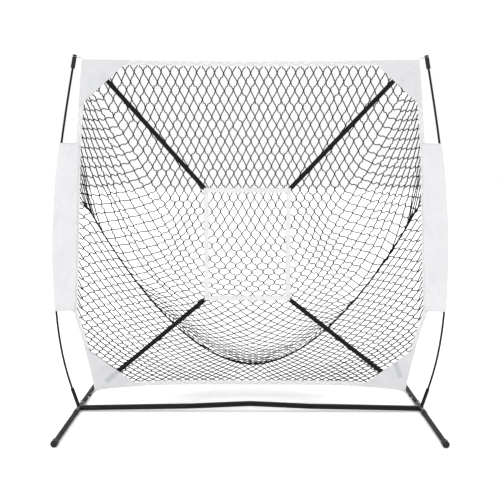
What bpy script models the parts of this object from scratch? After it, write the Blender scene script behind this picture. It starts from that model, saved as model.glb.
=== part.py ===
"""A bow-frame pitching target: tube base, fibreglass poles, pocket net, corner straps and strike zone.

Metres, +Z up. The thrower stands at -Y. The origin is on the ground, under the middle of the net.
"""

import math

import bmesh
import bpy
from mathutils import Matrix, Vector

# Gaps and facets
CLEARANCE = 0.0003
TUBE_SIDES = 20
ROUND_SIDES = 24

# Base frame
HUB_HALF_SPAN = 0.762
LEG_REACH = 0.457
SLEEVE_DIAMETER = 0.025
SLEEVE_BORE = 0.0216
SLEEVE_HALF_LENGTH = 0.075
BAR_DIAMETER = 0.024
BAR_BORE = 0.0216
BAR_WALL = 0.0012
SEAM_HALF_SPAN = 0.269
SEAM_RISE = 0.0085
BAR_PEAK_RISE = 0.020
BAR_BEND_RADIUS = 0.30
BAR_END_ROUNDING = 0.0015
PLUG_LENGTH = 0.070
LEG_WALL = 0.0012
LEG_STOP = 0.006
BUTTON_OFFSET = 0.045
POLE_LEAN = 0.33
SOCKET_TOP_HEIGHT = 0.103
SOCKET_DIAMETER = 0.016
SOCKET_FLOOR = 0.003

# Foot caps
CAP_DIAMETER = 0.028
CAP_LENGTH = 0.036
CAP_END = 0.005
CAP_ROUNDING = 0.003
CAP_LIP = 0.0012

# Snap buttons and their leaf springs
BUTTON_DIAMETER = 0.0064
BUTTON_PROUD = 0.003
BUTTON_FLANGE_DIAMETER = 0.009
BUTTON_FLANGE_THICKNESS = 0.0012
SPRING_WIDTH = 0.007
SPRING_THICKNESS = 0.0008
SPRING_LENGTH = 0.036

# Poles, given as stations of height, distance from the middle and slope
POLE_DIAMETER = 0.0095
POLE_WIDE = (0.66, 0.858)
POLE_TOP = (1.5555, 0.7455, -0.19)
POLE_JOINTS = (0.53, 1.05)
POLE_STEP = 0.045
FERRULE_DIAMETER = 0.0126
FERRULE_LENGTH = 0.09
TOP_CAP_DIAMETER = 0.018
TOP_CAP_LENGTH = 0.058
TOP_CAP_ROOF = 0.014
TOP_CAP_GROOVE_DIAMETER = 0.013
TOP_CAP_GROOVE_WIDTH = 0.005
TOP_CAP_GROOVE_DROP = 0.006

# Hems round the net: heights of four stations, and how far inside the pole, or the hub, their edge lies
HEM_WIDTH = 0.020
HEM_THICKNESS = 0.003
HEM_TOP = (1.536, 0.0332)
HEM_TOP_SAG = 0.008
HEM_SHOULDER = (1.184, 0.0642)
HEM_KNEE = (0.452, 0.0711)
HEM_KNEE_SLOPE = 0.36
HEM_KNEE_TURN = 1.5
HEM_BOTTOM = (0.0925, 0.072)
HEM_BOTTOM_SLOPE = 0.19
HEM_BOTTOM_RISE = 0.028
HEM_STEPS = 14

# Fabric corner patches and pole sleeves
PATCH_LEG = 0.200
PATCH_THICKNESS = 0.0008
PATCH_STEPS = 5
FABRIC_THICKNESS = 0.001
POLE_SLEEVE_RADIUS = 0.0073
POLE_SLEEVE_LAP = 0.012
POLE_SLEEVE_STEPS = 16
POLE_SLEEVE_ARC = 8

# Webbing
WEBBING_WIDTH = 0.020
WEBBING_THICKNESS = 0.0014
ZONE_WIDTH = 0.376
ZONE_BOTTOM = 0.5005
ZONE_HEIGHT = 0.492
ZONE_SHIFT = -0.013
STRAP_INSET_TOP = (0.032, 0.009)
STRAP_INSET_BOTTOM = (0.030, 0.0145)

# Pocket net
NET_ACROSS = 13
NET_UP = 10
NET_INSET = 0.016
STRAND = 0.0034
POCKET_FLOOR_BEND = ((0.147, 0.065), (0.42, 0.055))
POCKET_HEEL = (0.42, 0.22)
POCKET_WALL_BEND = ((0.42, 0.606), (0.16, 1.137))
POCKET_FOLD = 0.24
POCKET_FOLD_AT_SIDE = 0.60
POCKET_WALL_POWER = 2.6
POCKET_NARROWING = 0.06

# Corner ties
ELASTIC_DIAMETER = 0.0028
KNOT_DIAMETER = 0.0064
ELASTIC_LENGTH = 0.050
CRIMP_DIAMETER = 0.0062
CRIMP_LENGTH = 0.010
HOOK_BASE_DIAMETER = 0.0076
HOOK_BASE_LENGTH = 0.008
HOOK_WIRE = 0.0034
HOOK_RADIUS = 0.005
HOOK_SHANK = 0.012
HOOK_TIP = 0.005
LOOP_DIAMETER = 0.002
LOOP_SPREAD = 0.0012

# Derived places
AXIS_HEIGHT = CAP_DIAMETER / 2 * math.cos(math.pi / ROUND_SIDES)
LEG_RADIUS = SLEEVE_BORE / 2 - CLEARANCE
LEG_INNER_RADIUS = LEG_RADIUS - LEG_WALL
PLUG_RADIUS = BAR_BORE / 2 - CLEARANCE
POLE_RADIUS = POLE_DIAMETER / 2
SOCKET_BORE_RADIUS = POLE_RADIUS + CLEARANCE
POLE_FOOT = (SOCKET_TOP_HEIGHT, HUB_HALF_SPAN + (SOCKET_TOP_HEIGHT - AXIS_HEIGHT) * POLE_LEAN)
POLE_CAP_MOUTH = (POLE_TOP[0] - TOP_CAP_LENGTH, POLE_TOP[1] - TOP_CAP_LENGTH * POLE_TOP[2], POLE_TOP[2])
POLE_START_HEIGHT = AXIS_HEIGHT + SLEEVE_DIAMETER / 2 + SOCKET_FLOOR + CLEARANCE
HEM_BACK = HEM_THICKNESS / 2
HEM_FRONT = -HEM_THICKNESS / 2
PATCH_Y = HEM_FRONT - CLEARANCE - PATCH_THICKNESS / 2
STRAP_Y = HEM_FRONT + WEBBING_THICKNESS / 2
ZONE_BACK_Y = STRAP_Y + WEBBING_THICKNESS + CLEARANCE
ZONE_FRONT_Y = STRAP_Y - WEBBING_THICKNESS - CLEARANCE
NET_BORDER_Y = HEM_BACK + CLEARANCE + STRAND / 2
SIDES = {"left": -1, "right": 1}
ENDS = {"front": -1, "rear": 1}


# ---------------------------------------------------------------- scene and materials


def clear_scene():
    for obj in list(bpy.data.objects):
        bpy.data.objects.remove(obj, do_unlink=True)


def collection(name):
    made = bpy.data.collections.new(name)
    bpy.context.scene.collection.children.link(made)
    return made


def make_material(name, colour, roughness, metallic=0.0):
    made = bpy.data.materials.new(name)
    made.use_nodes = True
    shader = made.node_tree.nodes["Principled BSDF"]
    shader.inputs["Base Color"].default_value = (*colour, 1.0)
    shader.inputs["Roughness"].default_value = roughness
    shader.inputs["Metallic"].default_value = metallic
    return made


clear_scene()
PARTS = collection("pitching_target_net")
HELPERS = collection("cutters_and_guides")
MATERIALS = {
    "black_steel": make_material("black_steel", (0.012, 0.012, 0.013), 0.35, 0.2),
    "black_plastic": make_material("black_plastic", (0.010, 0.010, 0.011), 0.5),
    "bright_steel": make_material("bright_steel", (0.62, 0.64, 0.65), 0.25, 1.0),
    "spring_steel": make_material("spring_steel", (0.45, 0.45, 0.46), 0.35, 1.0),
    "fibreglass": make_material("fibreglass", (0.014, 0.014, 0.015), 0.3),
    "aluminium": make_material("aluminium", (0.55, 0.56, 0.57), 0.4, 1.0),
    "white_fabric": make_material("white_fabric", (0.82, 0.83, 0.85), 0.85),
    "white_webbing": make_material("white_webbing", (0.85, 0.85, 0.86), 0.9),
    "black_webbing": make_material("black_webbing", (0.010, 0.012, 0.012), 0.8),
    "net_cord": make_material("net_cord", (0.020, 0.018, 0.017), 0.7),
    "black_elastic": make_material("black_elastic", (0.012, 0.012, 0.012), 0.75),
    "white_cord": make_material("white_cord", (0.84, 0.84, 0.84), 0.8),
}


def keep(obj, material):
    """Put a finished piece among the parts with its material."""
    PARTS.objects.link(obj)
    obj.data.materials.clear()
    obj.data.materials.append(MATERIALS[material])
    if obj.type == "MESH":
        obj.data.shade_smooth()
        obj.data.set_sharp_from_angle(angle=math.radians(40))
    return obj


def guide(obj):
    """Put a cutter or a joined shape among the helpers, where it isn't built."""
    HELPERS.objects.link(obj)
    obj.hide_render = True
    obj.display_type = "WIRE"
    return obj


# ---------------------------------------------------------------- shapes


def from_bmesh(name, bm):
    mesh = bpy.data.meshes.new(name)
    bm.to_mesh(mesh)
    bm.free()
    return bpy.data.objects.new(name, mesh)


def towards(direction):
    """The turn that brings +Z to a direction."""
    return Vector(direction).to_track_quat("Z", "Y").to_matrix().to_4x4()


def rod(name, start, end, radius, sides=TUBE_SIDES, capped=True):
    """A straight round bar, or its open surface, between two points."""
    start, end = Vector(start), Vector(end)
    place = Matrix.Translation((start + end) / 2) @ towards(end - start)
    place = place @ Matrix.Rotation(math.pi / sides, 4, "Z")
    bm = bmesh.new()
    bmesh.ops.create_cone(
        bm, cap_ends=capped, segments=sides, radius1=radius, radius2=radius,
        depth=(end - start).length, matrix=place,
    )
    return from_bmesh(name, bm)


def solidify(obj, thickness, offset):
    wall = obj.modifiers.new("wall", "SOLIDIFY")
    wall.thickness = thickness
    wall.offset = offset
    wall.use_even_offset = True
    return obj


def pipe(name, start, end, radius, wall, sides=TUBE_SIDES):
    """A straight tube, open at both ends."""
    return solidify(rod(name, start, end, radius, sides, capped=False), wall, -1)


def turned(name, profile, axis_start, direction, sides=ROUND_SIDES, closed=False):
    """A profile of (radius, distance along the axis) turned round an axis. It runs down its outer side."""
    mesh = bpy.data.meshes.new(name)
    edges = [(i, i + 1) for i in range(len(profile) - 1)]
    if closed:
        edges.append((len(profile) - 1, 0))
    mesh.from_pydata([(radius, 0, along) for radius, along in profile], edges, [])
    obj = bpy.data.objects.new(name, mesh)
    turn = obj.modifiers.new("turn", "SCREW")
    turn.steps = turn.render_steps = sides
    turn.use_merge_vertices = True
    turn.merge_threshold = 0.00001
    obj.matrix_world = (
        Matrix.Translation(axis_start) @ towards(direction) @ Matrix.Rotation(math.pi / sides, 4, "Z")
    )
    return obj


def bent_rod(name, points, radius, detail=2, capped=True, scales=None):
    """A round bar along a row of points, its radius scaled point by point where scales are given."""
    curve = bpy.data.curves.new(name, "CURVE")
    curve.dimensions = "3D"
    curve.bevel_depth = radius
    curve.bevel_resolution = detail
    curve.use_fill_caps = capped
    spline = curve.splines.new("POLY")
    spline.points.add(len(points) - 1)
    for i, point in enumerate(points):
        spline.points[i].co = (*point, 1)
        spline.points[i].radius = scales[i] if scales else 1
    return bpy.data.objects.new(name, curve)


def as_mesh(shape):
    """A curve's tube, or a shape with its modifiers, as a plain welded mesh."""
    HELPERS.objects.link(shape)
    bpy.context.view_layer.update()
    evaluated = shape.evaluated_get(bpy.context.evaluated_depsgraph_get())
    mesh = bpy.data.meshes.new_from_object(evaluated)
    bm = bmesh.new()
    bm.from_mesh(mesh)
    bmesh.ops.remove_doubles(bm, verts=bm.verts, dist=0.00001)
    bm.to_mesh(mesh)
    bm.free()
    name = shape.name
    place = shape.matrix_world.copy()
    bpy.data.objects.remove(shape, do_unlink=True)
    obj = bpy.data.objects.new(name, mesh)
    obj.matrix_world = place
    return obj


def half_turn(obj, name):
    """A copy that stands on the other side of the middle, turned about the vertical."""
    copy = bpy.data.objects.new(name, obj.data)
    copy.rotation_euler = (0, 0, math.pi)
    return copy


def sheet(name, rows, thickness):
    """A cloth of equal rows of points, thickened evenly to both sides."""
    mesh = bpy.data.meshes.new(name)
    wide = len(rows[0])
    faces = [
        (r * wide + c, r * wide + c + 1, (r + 1) * wide + c + 1, (r + 1) * wide + c)
        for r in range(len(rows) - 1)
        for c in range(wide - 1)
    ]
    mesh.from_pydata([point for row in rows for point in row], [], faces)
    return solidify(bpy.data.objects.new(name, mesh), thickness, 0)


def combine(obj, tools, operation):
    """Join tools to an object, or cut them from it."""
    for tool in tools:
        change = obj.modifiers.new(tool.name, "BOOLEAN")
        change.operation = operation
        change.solver = "EXACT"
        change.object = guide(tool)
    return obj


def arc(centre, first, second, radius, start, end, steps):
    """Points on an arc in the plane of two unit vectors, from one angle to another."""
    angles = [start + (end - start) * i / steps for i in range(steps + 1)]
    return [centre + first * (radius * math.cos(a)) + second * (radius * math.sin(a)) for a in angles]


# ---------------------------------------------------------------- guide curves


def hermite(at, low, high):
    """A cubic between two stations of (place, value, slope)."""
    span = high[0] - low[0]
    t = (at - low[0]) / span
    rise = low[1] * (2 * t**3 - 3 * t**2 + 1) + high[1] * (3 * t**2 - 2 * t**3)
    return rise + span * (low[2] * (t**3 - 2 * t**2 + t) + high[2] * (t**3 - t**2))


def pole_offset(height):
    """How far the pole's axis is from the middle at a height."""
    foot = (*POLE_FOOT, POLE_LEAN)
    wide = (*POLE_WIDE, 0.0)
    if height <= foot[0]:
        return foot[1] + (height - foot[0]) * POLE_LEAN
    if height <= wide[0]:
        return hermite(height, foot, wide)
    if height <= POLE_CAP_MOUTH[0]:
        return hermite(height, wide, POLE_CAP_MOUTH)
    return POLE_TOP[1] + (height - POLE_TOP[0]) * POLE_TOP[2]


def pole_points(side, low, high):
    count = max(2, round((high - low) / POLE_STEP)) + 1
    heights = [low + (high - low) * i / (count - 1) for i in range(count)]
    heights += [z for z in (POLE_FOOT[0], POLE_CAP_MOUTH[0]) if low < z < high]
    return [Vector((side * pole_offset(z), 0, z)) for z in sorted(heights)]


def beside_pole(station):
    """A hem station of (height, gap to the pole's axis) as (height, half-width)."""
    return station[0], pole_offset(station[0]) - station[1]


HEM_TOP_CORNER = beside_pole(HEM_TOP)
HEM_SLEEVE_TOP = beside_pole(HEM_SHOULDER)
HEM_SLEEVE_BOTTOM = beside_pole(HEM_KNEE)
HEM_BOTTOM_CORNER = (HEM_BOTTOM[0], HUB_HALF_SPAN - HEM_BOTTOM[1])


def side_edge(height):
    """Half-width of the net's outer side edge at a height."""
    bottom, knee, shoulder, top = HEM_BOTTOM_CORNER, HEM_SLEEVE_BOTTOM, HEM_SLEEVE_TOP, HEM_TOP_CORNER
    middle_slope = (shoulder[1] - knee[1]) / (shoulder[0] - knee[0])
    top_slope = (top[1] - shoulder[1]) / (top[0] - shoulder[0])
    if height <= knee[0]:
        return hermite(height, (*bottom, HEM_BOTTOM_SLOPE), (*knee, HEM_KNEE_SLOPE))
    if height <= shoulder[0]:
        return hermite(height, (*knee, HEM_KNEE_TURN * middle_slope), (*shoulder, middle_slope))
    return hermite(height, (*shoulder, top_slope), (*top, top_slope))


def top_edge(x):
    """Height of the net's top edge, which sags in the middle."""
    return HEM_TOP_CORNER[0] - HEM_TOP_SAG * (1 - (x / HEM_TOP_CORNER[1]) ** 2)


def bottom_edge(x):
    """Height of the net's bottom edge, which the corner ties pull down at its ends."""
    return HEM_BOTTOM_CORNER[0] + HEM_BOTTOM_RISE * (1 - (x / HEM_BOTTOM_CORNER[1]) ** 4)


# ---------------------------------------------------------------- base frame


def hub_point(side):
    return Vector((side * HUB_HALF_SPAN, 0, AXIS_HEIGHT))


def seam_point(side):
    return Vector((side * SEAM_HALF_SPAN, 0, AXIS_HEIGHT + SEAM_RISE))


def button_place(side, end):
    return hub_point(side) + Vector((0, end * BUTTON_OFFSET, 0))


def button_hole(side, end, top):
    """A vertical cutter through the upper wall of a sleeve or leg."""
    place = button_place(side, end)
    radius = BUTTON_DIAMETER / 2 + CLEARANCE
    return rod("button_hole", place, place + Vector((0, 0, top)), radius, 16)


def base_weldment(name):
    """Leg sleeve, side crossbar and leaning pole socket, welded into one piece, at the right side."""
    hub, seam = hub_point(1), seam_point(1)
    along = Vector((0, SLEEVE_HALF_LENGTH, 0))
    outward = (hub - seam).normalized()
    lean = Vector((POLE_LEAN, 0, 1)).normalized()
    socket_top = Vector((POLE_FOOT[1], 0, SOCKET_TOP_HEIGHT))
    socket_floor = Vector((pole_offset(POLE_START_HEIGHT), 0, POLE_START_HEIGHT)) - lean * CLEARANCE
    bar_radius = BAR_DIAMETER / 2
    bar_length = (hub - seam).length
    bar_profile = [
        (0, bar_length),
        (bar_radius - BAR_END_ROUNDING, bar_length),
        (bar_radius, bar_length - BAR_END_ROUNDING),
        (bar_radius, 0),
        (0, 0),
    ]
    sleeve = rod(name, hub - along, hub + along, SLEEVE_DIAMETER / 2)
    side_bar = turned(name + "_bar", bar_profile, hub, -outward, TUBE_SIDES)
    socket = rod(name + "_socket", hub, socket_top, SOCKET_DIAMETER / 2, 16)
    combine(sleeve, [side_bar, socket], "UNION")
    past = along * 1.2
    bar_bore_end = hub - outward * (SLEEVE_DIAMETER / 2)
    bores = [
        rod(name + "_sleeve_bore", hub - past, hub + past, SLEEVE_BORE / 2),
        rod(name + "_bar_bore", bar_bore_end, seam - outward * 0.01, BAR_BORE / 2),
        rod(name + "_socket_bore", socket_floor, socket_top + lean * 0.01, SOCKET_BORE_RADIUS, 16),
    ]
    holes = [button_hole(1, end, SLEEVE_DIAMETER) for end in ENDS.values()]
    return as_mesh(combine(sleeve, bores + holes, "DIFFERENCE"))


def center_crossbar():
    """The bent middle tube. Its swaged ends plug into the side bars."""
    outward = (hub_point(1) - seam_point(1)).normalized()
    seam = seam_point(1) - outward * CLEARANCE
    peak = Vector((0, 0, AXIS_HEIGHT + BAR_PEAK_RISE))
    slope = (peak.z - seam.z) / seam.x
    crown = [
        Vector((x, 0, peak.z - slope * math.sqrt(x * x + (BAR_BEND_RADIUS * slope) ** 2) + BAR_BEND_RADIUS * slope**2))
        for x in (i * BAR_BEND_RADIUS * slope for i in range(6))
    ]
    plug = PLUG_RADIUS / (BAR_DIAMETER / 2)
    lip = 1 - BAR_END_ROUNDING / (BAR_DIAMETER / 2)
    half = [(point, 1.0) for point in crown]
    half += [
        (seam - outward * BAR_END_ROUNDING, 1.0),
        (seam - outward * CLEARANCE, lip),
        (seam, plug),
        (seam + outward * PLUG_LENGTH, plug),
    ]
    mirrored = [(Vector((-p.x, p.y, p.z)), scale) for p, scale in half[:0:-1]]
    path = mirrored + half
    bar = bent_rod(
        "center_crossbar", [p for p, _ in path], BAR_DIAMETER / 2, detail=6, capped=False,
        scales=[scale for _, scale in path],
    )
    return solidify(bar, BAR_WALL, -1)


def leg_tube(name, side, end):
    hub = hub_point(side)
    start = hub + Vector((0, end * LEG_STOP, 0))
    finish = hub + Vector((0, end * (LEG_REACH - CAP_END - CLEARANCE), 0))
    leg = pipe(name, start, finish, LEG_RADIUS, LEG_WALL)
    return combine(leg, [button_hole(side, end, LEG_RADIUS + LEG_WALL)], "DIFFERENCE")


def foot_cap(name, side, end):
    """A moulded cup over the leg's end, with a rolled lip at its mouth."""
    radius, bore = CAP_DIAMETER / 2, LEG_RADIUS + CLEARANCE
    profile = [
        (0, CAP_LENGTH),
        (radius - CAP_ROUNDING, CAP_LENGTH),
        (radius - 0.3 * CAP_ROUNDING, CAP_LENGTH - 0.3 * CAP_ROUNDING),
        (radius, CAP_LENGTH - CAP_ROUNDING),
        (radius, CAP_LIP),
        (radius - CAP_LIP, 0),
        (bore, 0),
        (bore, CAP_LENGTH - CAP_END),
        (0, CAP_LENGTH - CAP_END),
    ]
    mouth = hub_point(side) + Vector((0, end * (LEG_REACH - CAP_LENGTH), 0))
    return turned(name, profile, mouth, (0, end, 0))


def snap_button(name, side, end):
    """Domed head, shank through both walls and a flange that stops under the leg's wall."""
    head = BUTTON_DIAMETER / 2
    flange = BUTTON_FLANGE_DIAMETER / 2
    top = SLEEVE_DIAMETER / 2 + BUTTON_PROUD
    under_wall = math.sqrt(LEG_INNER_RADIUS**2 - flange**2) - 2 * CLEARANCE
    dome = [
        (head * math.sin(a), top - head * 0.8 * (1 - math.cos(a)))
        for a in (math.radians(15 * i) for i in range(7))
    ]
    profile = dome + [
        (head, under_wall),
        (flange, under_wall),
        (flange, under_wall - BUTTON_FLANGE_THICKNESS),
        (0, under_wall - BUTTON_FLANGE_THICKNESS),
    ]
    return turned(name, profile, button_place(side, end), (0, 0, 1), 16)


def button_spring(name, side, end):
    """A V of spring strip: one arm on the leg's floor, the other under the button's flange."""
    half = SPRING_WIDTH / 2
    flange = BUTTON_FLANGE_DIAMETER / 2
    flange_floor = math.sqrt(LEG_INNER_RADIUS**2 - flange**2) - 2 * CLEARANCE - BUTTON_FLANGE_THICKNESS
    upper = flange_floor - CLEARANCE - SPRING_THICKNESS / 2
    lower = -math.sqrt(LEG_INNER_RADIUS**2 - half**2) + CLEARANCE + SPRING_THICKNESS / 2
    bend = 0.0022
    centre = Vector((0, SPRING_LENGTH, lower + bend))
    first, second = Vector((0, 1, 0)), Vector((0, 0, 1))
    path = [Vector((0, -flange, lower))]
    path += arc(centre, first, second, bend, -math.pi / 2, math.pi / 2, 6)
    path += [Vector((0, flange, upper)), Vector((0, -flange, upper))]
    place = button_place(side, end)
    rows = [
        [place + Vector((x, end * point.y, point.z)) for x in (-half, half)]
        for point in path
    ]
    return sheet(name, rows, SPRING_THICKNESS)


# ---------------------------------------------------------------- poles


def pole_section(name, side, low, high):
    return bent_rod(name, pole_points(side, low, high), POLE_RADIUS, detail=3)


def ferrule(name, side, height):
    half = FERRULE_LENGTH / 2
    shell = bent_rod(
        name, pole_points(side, height - half, height + half), FERRULE_DIAMETER / 2, detail=3, capped=False
    )
    wall = FERRULE_DIAMETER / 2 - POLE_RADIUS - CLEARANCE
    return solidify(shell, wall, -1)


def pole_axis(side):
    return Vector((side * POLE_TOP[2], 0, 1)).normalized()


def pole_tip(side):
    return Vector((side * POLE_TOP[1], 0, POLE_TOP[0]))


def top_cap(name, side):
    """A turned cap pushed over the pole's tip, with a groove for the corner loop."""
    radius, groove = TOP_CAP_DIAMETER / 2, TOP_CAP_GROOVE_DIAMETER / 2
    bore = POLE_RADIUS + CLEARANCE
    crown = 0.4 * radius
    dome = [
        (radius - crown + crown * math.sin(a), TOP_CAP_LENGTH - crown + crown * math.cos(a))
        for a in (math.radians(30 * i) for i in range(4))
    ]
    drop = TOP_CAP_LENGTH - TOP_CAP_GROOVE_DROP
    slope = (radius - groove) * 0.4
    profile = [(0, TOP_CAP_LENGTH)] + dome + [
        (radius, drop),
        (groove, drop - slope),
        (groove, drop - TOP_CAP_GROOVE_WIDTH + slope),
        (radius, drop - TOP_CAP_GROOVE_WIDTH),
        (radius, CAP_LIP),
        (radius - CAP_LIP, 0),
        (bore, 0),
        (bore, TOP_CAP_LENGTH - TOP_CAP_ROOF),
        (0, TOP_CAP_LENGTH - TOP_CAP_ROOF),
    ]
    axis = pole_axis(side)
    return turned(name, profile, pole_tip(side) - axis * TOP_CAP_LENGTH, axis, 20)


# ---------------------------------------------------------------- fabric and webbing


def spaced(low, high, steps):
    return [low + (high - low) * i / steps for i in range(steps + 1)]


def side_hem(name, side):
    heights = spaced(HEM_BOTTOM_CORNER[0], HEM_KNEE[0], HEM_STEPS // 2)
    heights += spaced(HEM_KNEE[0], HEM_TOP_CORNER[0], HEM_STEPS)[1:]
    rows = [
        [Vector((side * (side_edge(z) - inset), 0, z)) for inset in (0, HEM_WIDTH)]
        for z in heights
    ]
    return sheet(name, rows, HEM_THICKNESS)


def cross_hem(name, edge, corner, inward):
    """The hem along the top or bottom edge, between the side hems."""
    reach = corner[1] - HEM_WIDTH - CLEARANCE
    rows = [
        [Vector((x, 0, edge(x) + inward * inset)) for inset in (0, HEM_WIDTH)]
        for x in spaced(-reach, reach, HEM_STEPS)
    ]
    return sheet(name, rows, HEM_THICKNESS)


def corner_patch(name, side, edge, corner, inward):
    """A triangle of fabric over a corner, its long side straight across the net."""
    tip = Vector((side * corner[1], PATCH_Y, corner[0]))
    rows = []
    for r in range(1, PATCH_STEPS + 1):
        reach = PATCH_LEG * r / PATCH_STEPS
        on_side = Vector((side * side_edge(corner[0] + inward * reach), PATCH_Y, corner[0] + inward * reach))
        on_cross = Vector((side * (corner[1] - reach), PATCH_Y, edge(corner[1] - reach)))
        rows.append([on_side.lerp(on_cross, c / PATCH_STEPS) for c in range(PATCH_STEPS + 1)])
    rows.insert(0, [tip.lerp(point, 0.04) for point in rows[0]])
    return sheet(name, rows, PATCH_THICKNESS)


def pole_sleeve(name, side):
    """Fabric that wraps the pole and laps the side hem, front and back."""
    lap_y = HEM_BACK + CLEARANCE + FABRIC_THICKNESS / 2
    rows = []
    for z in spaced(HEM_KNEE[0], HEM_SHOULDER[0], POLE_SLEEVE_STEPS):
        start = side_edge(z) - POLE_SLEEVE_LAP
        centre = pole_offset(z)
        reach = math.hypot(centre - start, lap_y)
        bearing = math.atan2(lap_y, centre - start)
        tangent = math.pi - bearing - math.acos(POLE_SLEEVE_RADIUS / reach)
        turn = [
            (centre + POLE_SLEEVE_RADIUS * math.cos(a), POLE_SLEEVE_RADIUS * math.sin(a))
            for a in spaced(-tangent, tangent, POLE_SLEEVE_ARC)
        ]
        edge = side_edge(z)
        section = [(start, -lap_y), (edge, -lap_y)] + turn + [(edge, lap_y), (start, lap_y)]
        rows.append([Vector((side * x, y, z)) for x, y in section])
    return sheet(name, rows, FABRIC_THICKNESS)


def webbing(name, start, end, y):
    """A flat strap between two points (x, z) in a plane of constant y."""
    start, end = Vector((start[0], y, start[1])), Vector((end[0], y, end[1]))
    across = (end - start).normalized().cross(Vector((0, 1, 0))) * (WEBBING_WIDTH / 2)
    rows = [[point - across, point + across] for point in (start, end)]
    return sheet(name, rows, WEBBING_THICKNESS)


def zone_frame():
    """Four strips round the strike zone. The side strips lie behind the strap ends, the others before."""
    left, right = ZONE_SHIFT - ZONE_WIDTH / 2, ZONE_SHIFT + ZONE_WIDTH / 2
    low, high = ZONE_BOTTOM, ZONE_BOTTOM + ZONE_HEIGHT
    half = WEBBING_WIDTH / 2
    return [
        webbing("zone_top_webbing", (left, high - half), (right, high - half), ZONE_FRONT_Y),
        webbing("zone_bottom_webbing", (left, low + half), (right, low + half), ZONE_FRONT_Y),
        webbing("zone_left_webbing", (left + half, low), (left + half, high), ZONE_BACK_Y),
        webbing("zone_right_webbing", (right - half, low), (right - half, high), ZONE_BACK_Y),
    ]


def corner_strap(name, side, corner, zone_height, inset, inward):
    """A strap from a corner of the strike zone to the inner corner of the hems."""
    half = WEBBING_WIDTH / 2
    start = (ZONE_SHIFT + side * (ZONE_WIDTH / 2 - half), zone_height + inward * half)
    edge = top_edge if inward < 0 else bottom_edge
    reach = corner[1] - HEM_WIDTH - inset[0]
    end = (side * reach, edge(reach) + inward * (HEM_WIDTH + inset[1]))
    return webbing(name, start, end, STRAP_Y)


# ---------------------------------------------------------------- pocket net


def bezier(points, t):
    a, b, c, d = points
    s = 1 - t
    return a * s**3 + b * (3 * s * s * t) + c * (3 * s * t * t) + d * t**3


def pocket_section():
    """The middle section of the pocket as (depth, height): its floor, then its back wall."""
    low, high = (0, bottom_edge(0) + NET_INSET), (0, top_edge(0) - NET_INSET)
    floor = [Vector(point) for point in (low, *POCKET_FLOOR_BEND, POCKET_HEEL)]
    wall = [Vector(point) for point in (POCKET_HEEL, *POCKET_WALL_BEND, high)]
    return floor, wall


def pocket_point(u, v):
    """A point of the net from u, -1 to 1 across, and v, 0 to 1 from the bottom hem to the top."""
    floor, wall = pocket_section()
    fold = POCKET_FOLD + (POCKET_FOLD_AT_SIDE - POCKET_FOLD) * abs(u) ** 2
    if v < fold:
        depth, height = bezier(floor, v / fold)
    else:
        depth, height = bezier(wall, (v - fold) / (1 - fold))
    swell = 1 - abs(u) ** POCKET_WALL_POWER
    level = HEM_BOTTOM_CORNER[0] + (HEM_TOP_CORNER[0] - HEM_BOTTOM_CORNER[0]) * v
    x = u * (side_edge(level) - NET_INSET)
    plain = bottom_edge(x) + NET_INSET + (top_edge(x) - bottom_edge(x) - 2 * NET_INSET) * v
    half_width = side_edge(plain) - NET_INSET
    narrowing = 1 - POCKET_NARROWING * swell * depth / POCKET_HEEL[0]
    return Vector((
        u * half_width * narrowing,
        NET_BORDER_Y + depth * swell,
        plain + (height - plain) * swell,
    ))


def pocket_net():
    """A diamond mesh on the pocket's surface, each cell's sides thickened to strands."""
    columns, rows = 2 * NET_ACROSS, 2 * NET_UP
    bm = bmesh.new()
    knots = {}

    def knot(i, j):
        if (i, j) not in knots:
            knots[i, j] = bm.verts.new(pocket_point(2 * i / columns - 1, j / rows))
        return knots[i, j]

    for i in range(columns + 1):
        for j in range(rows + 1):
            if (i + j) % 2 == 0:
                continue
            around = [(i - 1, j), (i, j - 1), (i + 1, j), (i, j + 1)]
            inside = [(a, b) for a, b in around if 0 <= a <= columns and 0 <= b <= rows]
            bm.faces.new([knot(a, b) for a, b in inside])
    bmesh.ops.recalc_face_normals(bm, faces=bm.faces)
    net = from_bmesh("pocket_net", bm)
    strands = net.modifiers.new("strands", "WIREFRAME")
    strands.thickness = STRAND
    strands.use_boundary = True
    strands.use_replace = True
    strands.use_even_offset = False
    return net


# ---------------------------------------------------------------- corner ties


def tie_line(side):
    """The bottom tie's knot at the leg, and the direction from it to the net's corner."""
    hub = hub_point(side)
    corner = Vector((side * (HEM_BOTTOM_CORNER[1] - 0.3 * HEM_WIDTH), 0, HEM_BOTTOM_CORNER[0]))
    outward = Vector((corner.x - hub.x, 0, corner.z - hub.z)).normalized()
    ring_y = SLEEVE_HALF_LENGTH + CLEARANCE + KNOT_DIAMETER / 2
    ring = LEG_RADIUS + CLEARANCE + ELASTIC_DIAMETER / 2
    knot = hub + Vector((0, ring_y, 0)) + outward * (ring + 0.6 * ELASTIC_DIAMETER)
    return knot, (corner - knot).normalized(), corner


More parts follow.
